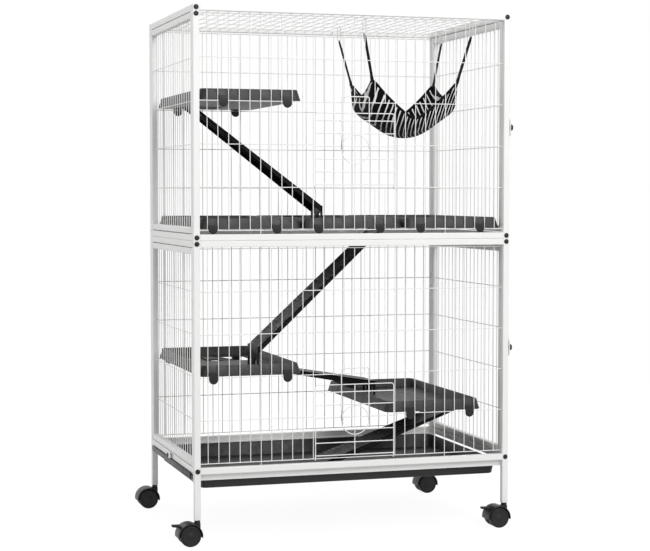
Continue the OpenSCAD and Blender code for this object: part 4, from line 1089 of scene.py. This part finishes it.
class CAGE_OT_casters(CageOperator, bpy.types.Operator):
    """Twin-wheel casters with fenders, the front two with a brake lever"""

    bl_idname = "cage.casters"
    bl_label = "Casters"

    TRAIL, AXLE, HALF = 0.020, 0.025, 0.023
    WEB, PIN_R, PIVOT_R = 0.011, 0.0035, 0.0334

    def execute(self, context):
        for which, sx, sy in (("fl", -1, -1), ("fr", 1, -1), ("bl", -1, 1), ("br", 1, 1)):
            at = np.array([MID_X + sx * POST_X, sy * POST_Y, 0])
            housing, wheels, brake = "caster_housing_" + which, "caster_wheels_" + which, sy < 0
            fender = moved(self.housing(brake), at)
            piece("caster_fender_" + which, fender, "fitting", "caster_" + which, [housing])
            piece("caster_pair_" + which, moved(self.wheels(), at), "tread", "wheels_" + which, [wheels])
            if brake:
                lever = moved(self.lever(), at)
                piece("brake_tongue_" + which, lever, "fitting", "brake_" + which, ["brake_lever_" + which])
        return {"FINISHED"}

    def polar(self, r, a):
        """Place in side view at distance r from the axle, a degrees up from ahead."""
        return arc(-self.TRAIL, self.AXLE, r, a, a, 0)[0]

    def housing(self, brake):
        """A fender whose section, 2.5 mm thick, is carried round the axle from -8 to 188 degrees.

        Under it are a web, a boss round the axle and a block round the stem, and with a brake two ears for its pin.
        """
        section = rounded(0.0025, 2 * self.HALF, 0.0008, 4) + (0.02825, 0)
        a = np.radians(np.linspace(-8, 188, 61))[:, None]
        r, y = section.T
        band = np.broadcast_arrays(-self.TRAIL + r * np.cos(a), y, self.AXLE + r * np.sin(a))
        shapes = [(np.stack(band, -1).reshape(-1, 3), capped(len(a), len(section)))]
        axle, half = (-self.TRAIL, self.AXLE), self.WEB / 2
        web = np.concatenate([[axle], arc(*axle, 0.0285, 20, 130, 19)])
        shapes.append(plate(web, self.WEB, 0.0006, (0, half, 0), FACING, 2))
        boss = mm((3.1, -5.5), (8.5, -5.5), (9, -5), (9, 5), (8.5, 5.5), (3.1, 5.5), (3.1, -5.5))
        shapes.append(turned(boss, (-self.TRAIL, 0, self.AXLE), BACK, 40))
        block = mm((-10, 26), (7, 26), (7, 52.7), (6, 53.7), (-9, 53.7), (-10, 52.7))
        shapes.append(plate(block, self.WEB, 0.001, (0, half, 0), FACING))
        if brake:
            ear = arc(*self.polar(self.PIVOT_R, 138), self.PIN_R, 20, 250, 20)
            foot = [self.polar(0.028, 144), self.polar(0.028, 132)]
            for y in (-0.0063, 0.0093):
                shapes.append(plate(np.concatenate([ear, foot]), 0.003, 0.0004, (0, y, 0), FACING, 2))
        return joined(*shapes)

    def wheels(self):
        """Each wheel has a tread with rounded shoulders, a groove inside its edge, a dished disc and a raised hub."""
        profile = mm((3.05, 6), (23.5, 6), (24.6, 6.5), (25, 7.6), (25, 20), (24.6, 21.6), (23.7, 22.6), (22.4, 23),
                     (21.4, 23), (20.9, 22.2), (20.2, 22.1), (19.7, 22.6), (12, 22.1), (6.8, 22.1), (6.2, 22.6),
                     (5.4, 22.8), (0, 22.8))
        at = np.array([-self.TRAIL, 0, self.AXLE])
        axle = rods(at - BACK * 0.018, at + BACK * 0.018, 0.003, 24)
        return joined(*(turned(profile, at, BACK * s, 64) for s in (-1, 1)), axle)

    def lever(self):
        """A barrel round its pin with a level tongue that ends in a thick rounded tip."""
        px, pz = self.polar(self.PIVOT_R, 138)
        outline = np.concatenate([arc(0, 0, self.PIN_R, -60, 90, 12), mm((-13.9, 4.3)),
                                  arc(-0.0145, 0.0016, 0.0027, 90, 270, 12), mm((-8.4, -1.8), (-1, -3.5))])
        tongue = plate(outline, 0.012, 0.0009, (px, 0.006, pz), FACING)
        return joined(tongue, rods((px, -0.009, pz), (px, 0.009, pz), 0.00145, 16))


# ---- Panel and start ----

OPERATORS = (
    CAGE_OT_stage, CAGE_OT_frame, CAGE_OT_mesh, CAGE_OT_side_panels, CAGE_OT_front_doors, CAGE_OT_side_latches,
    CAGE_OT_shelves, CAGE_OT_clips, CAGE_OT_ramps, CAGE_OT_hammock, CAGE_OT_tray, CAGE_OT_casters,
)


class CAGE_PT_panel(bpy.types.Panel):
    """Lists the pieces of the cage"""

    bl_label = "Ferret cage"
    bl_idname = "CAGE_PT_panel"
    bl_space_type = "VIEW_3D"
    bl_region_type = "UI"
    bl_category = "Cage"

    def draw(self, context):
        for group in (context.scene.cage_sizes, context.scene.cage_colours):
            for key in group.__annotations__:
                self.layout.prop(group, key)
        for operator in OPERATORS:
            self.layout.operator(operator.bl_idname)


CLASSES = (CageSizes, CageColours, *OPERATORS, CAGE_PT_panel)


def register():
    for made in CLASSES:
        bpy.utils.register_class(made)
    bpy.types.Scene.cage_sizes = bpy.props.PointerProperty(type=CageSizes)
    bpy.types.Scene.cage_colours = bpy.props.PointerProperty(type=CageColours)


def unregister():
    del bpy.types.Scene.cage_sizes, bpy.types.Scene.cage_colours
    for made in reversed(CLASSES):
        bpy.utils.unregister_class(made)


def main():
    register()
    scene = bpy.context.scene
    make_finishes(scene.cage_colours, scene.cage_sizes)
    for operator in OPERATORS:
        getattr(bpy.ops.cage, operator.bl_idname.split(".")[1])()


if __name__ == "__main__":
    main()
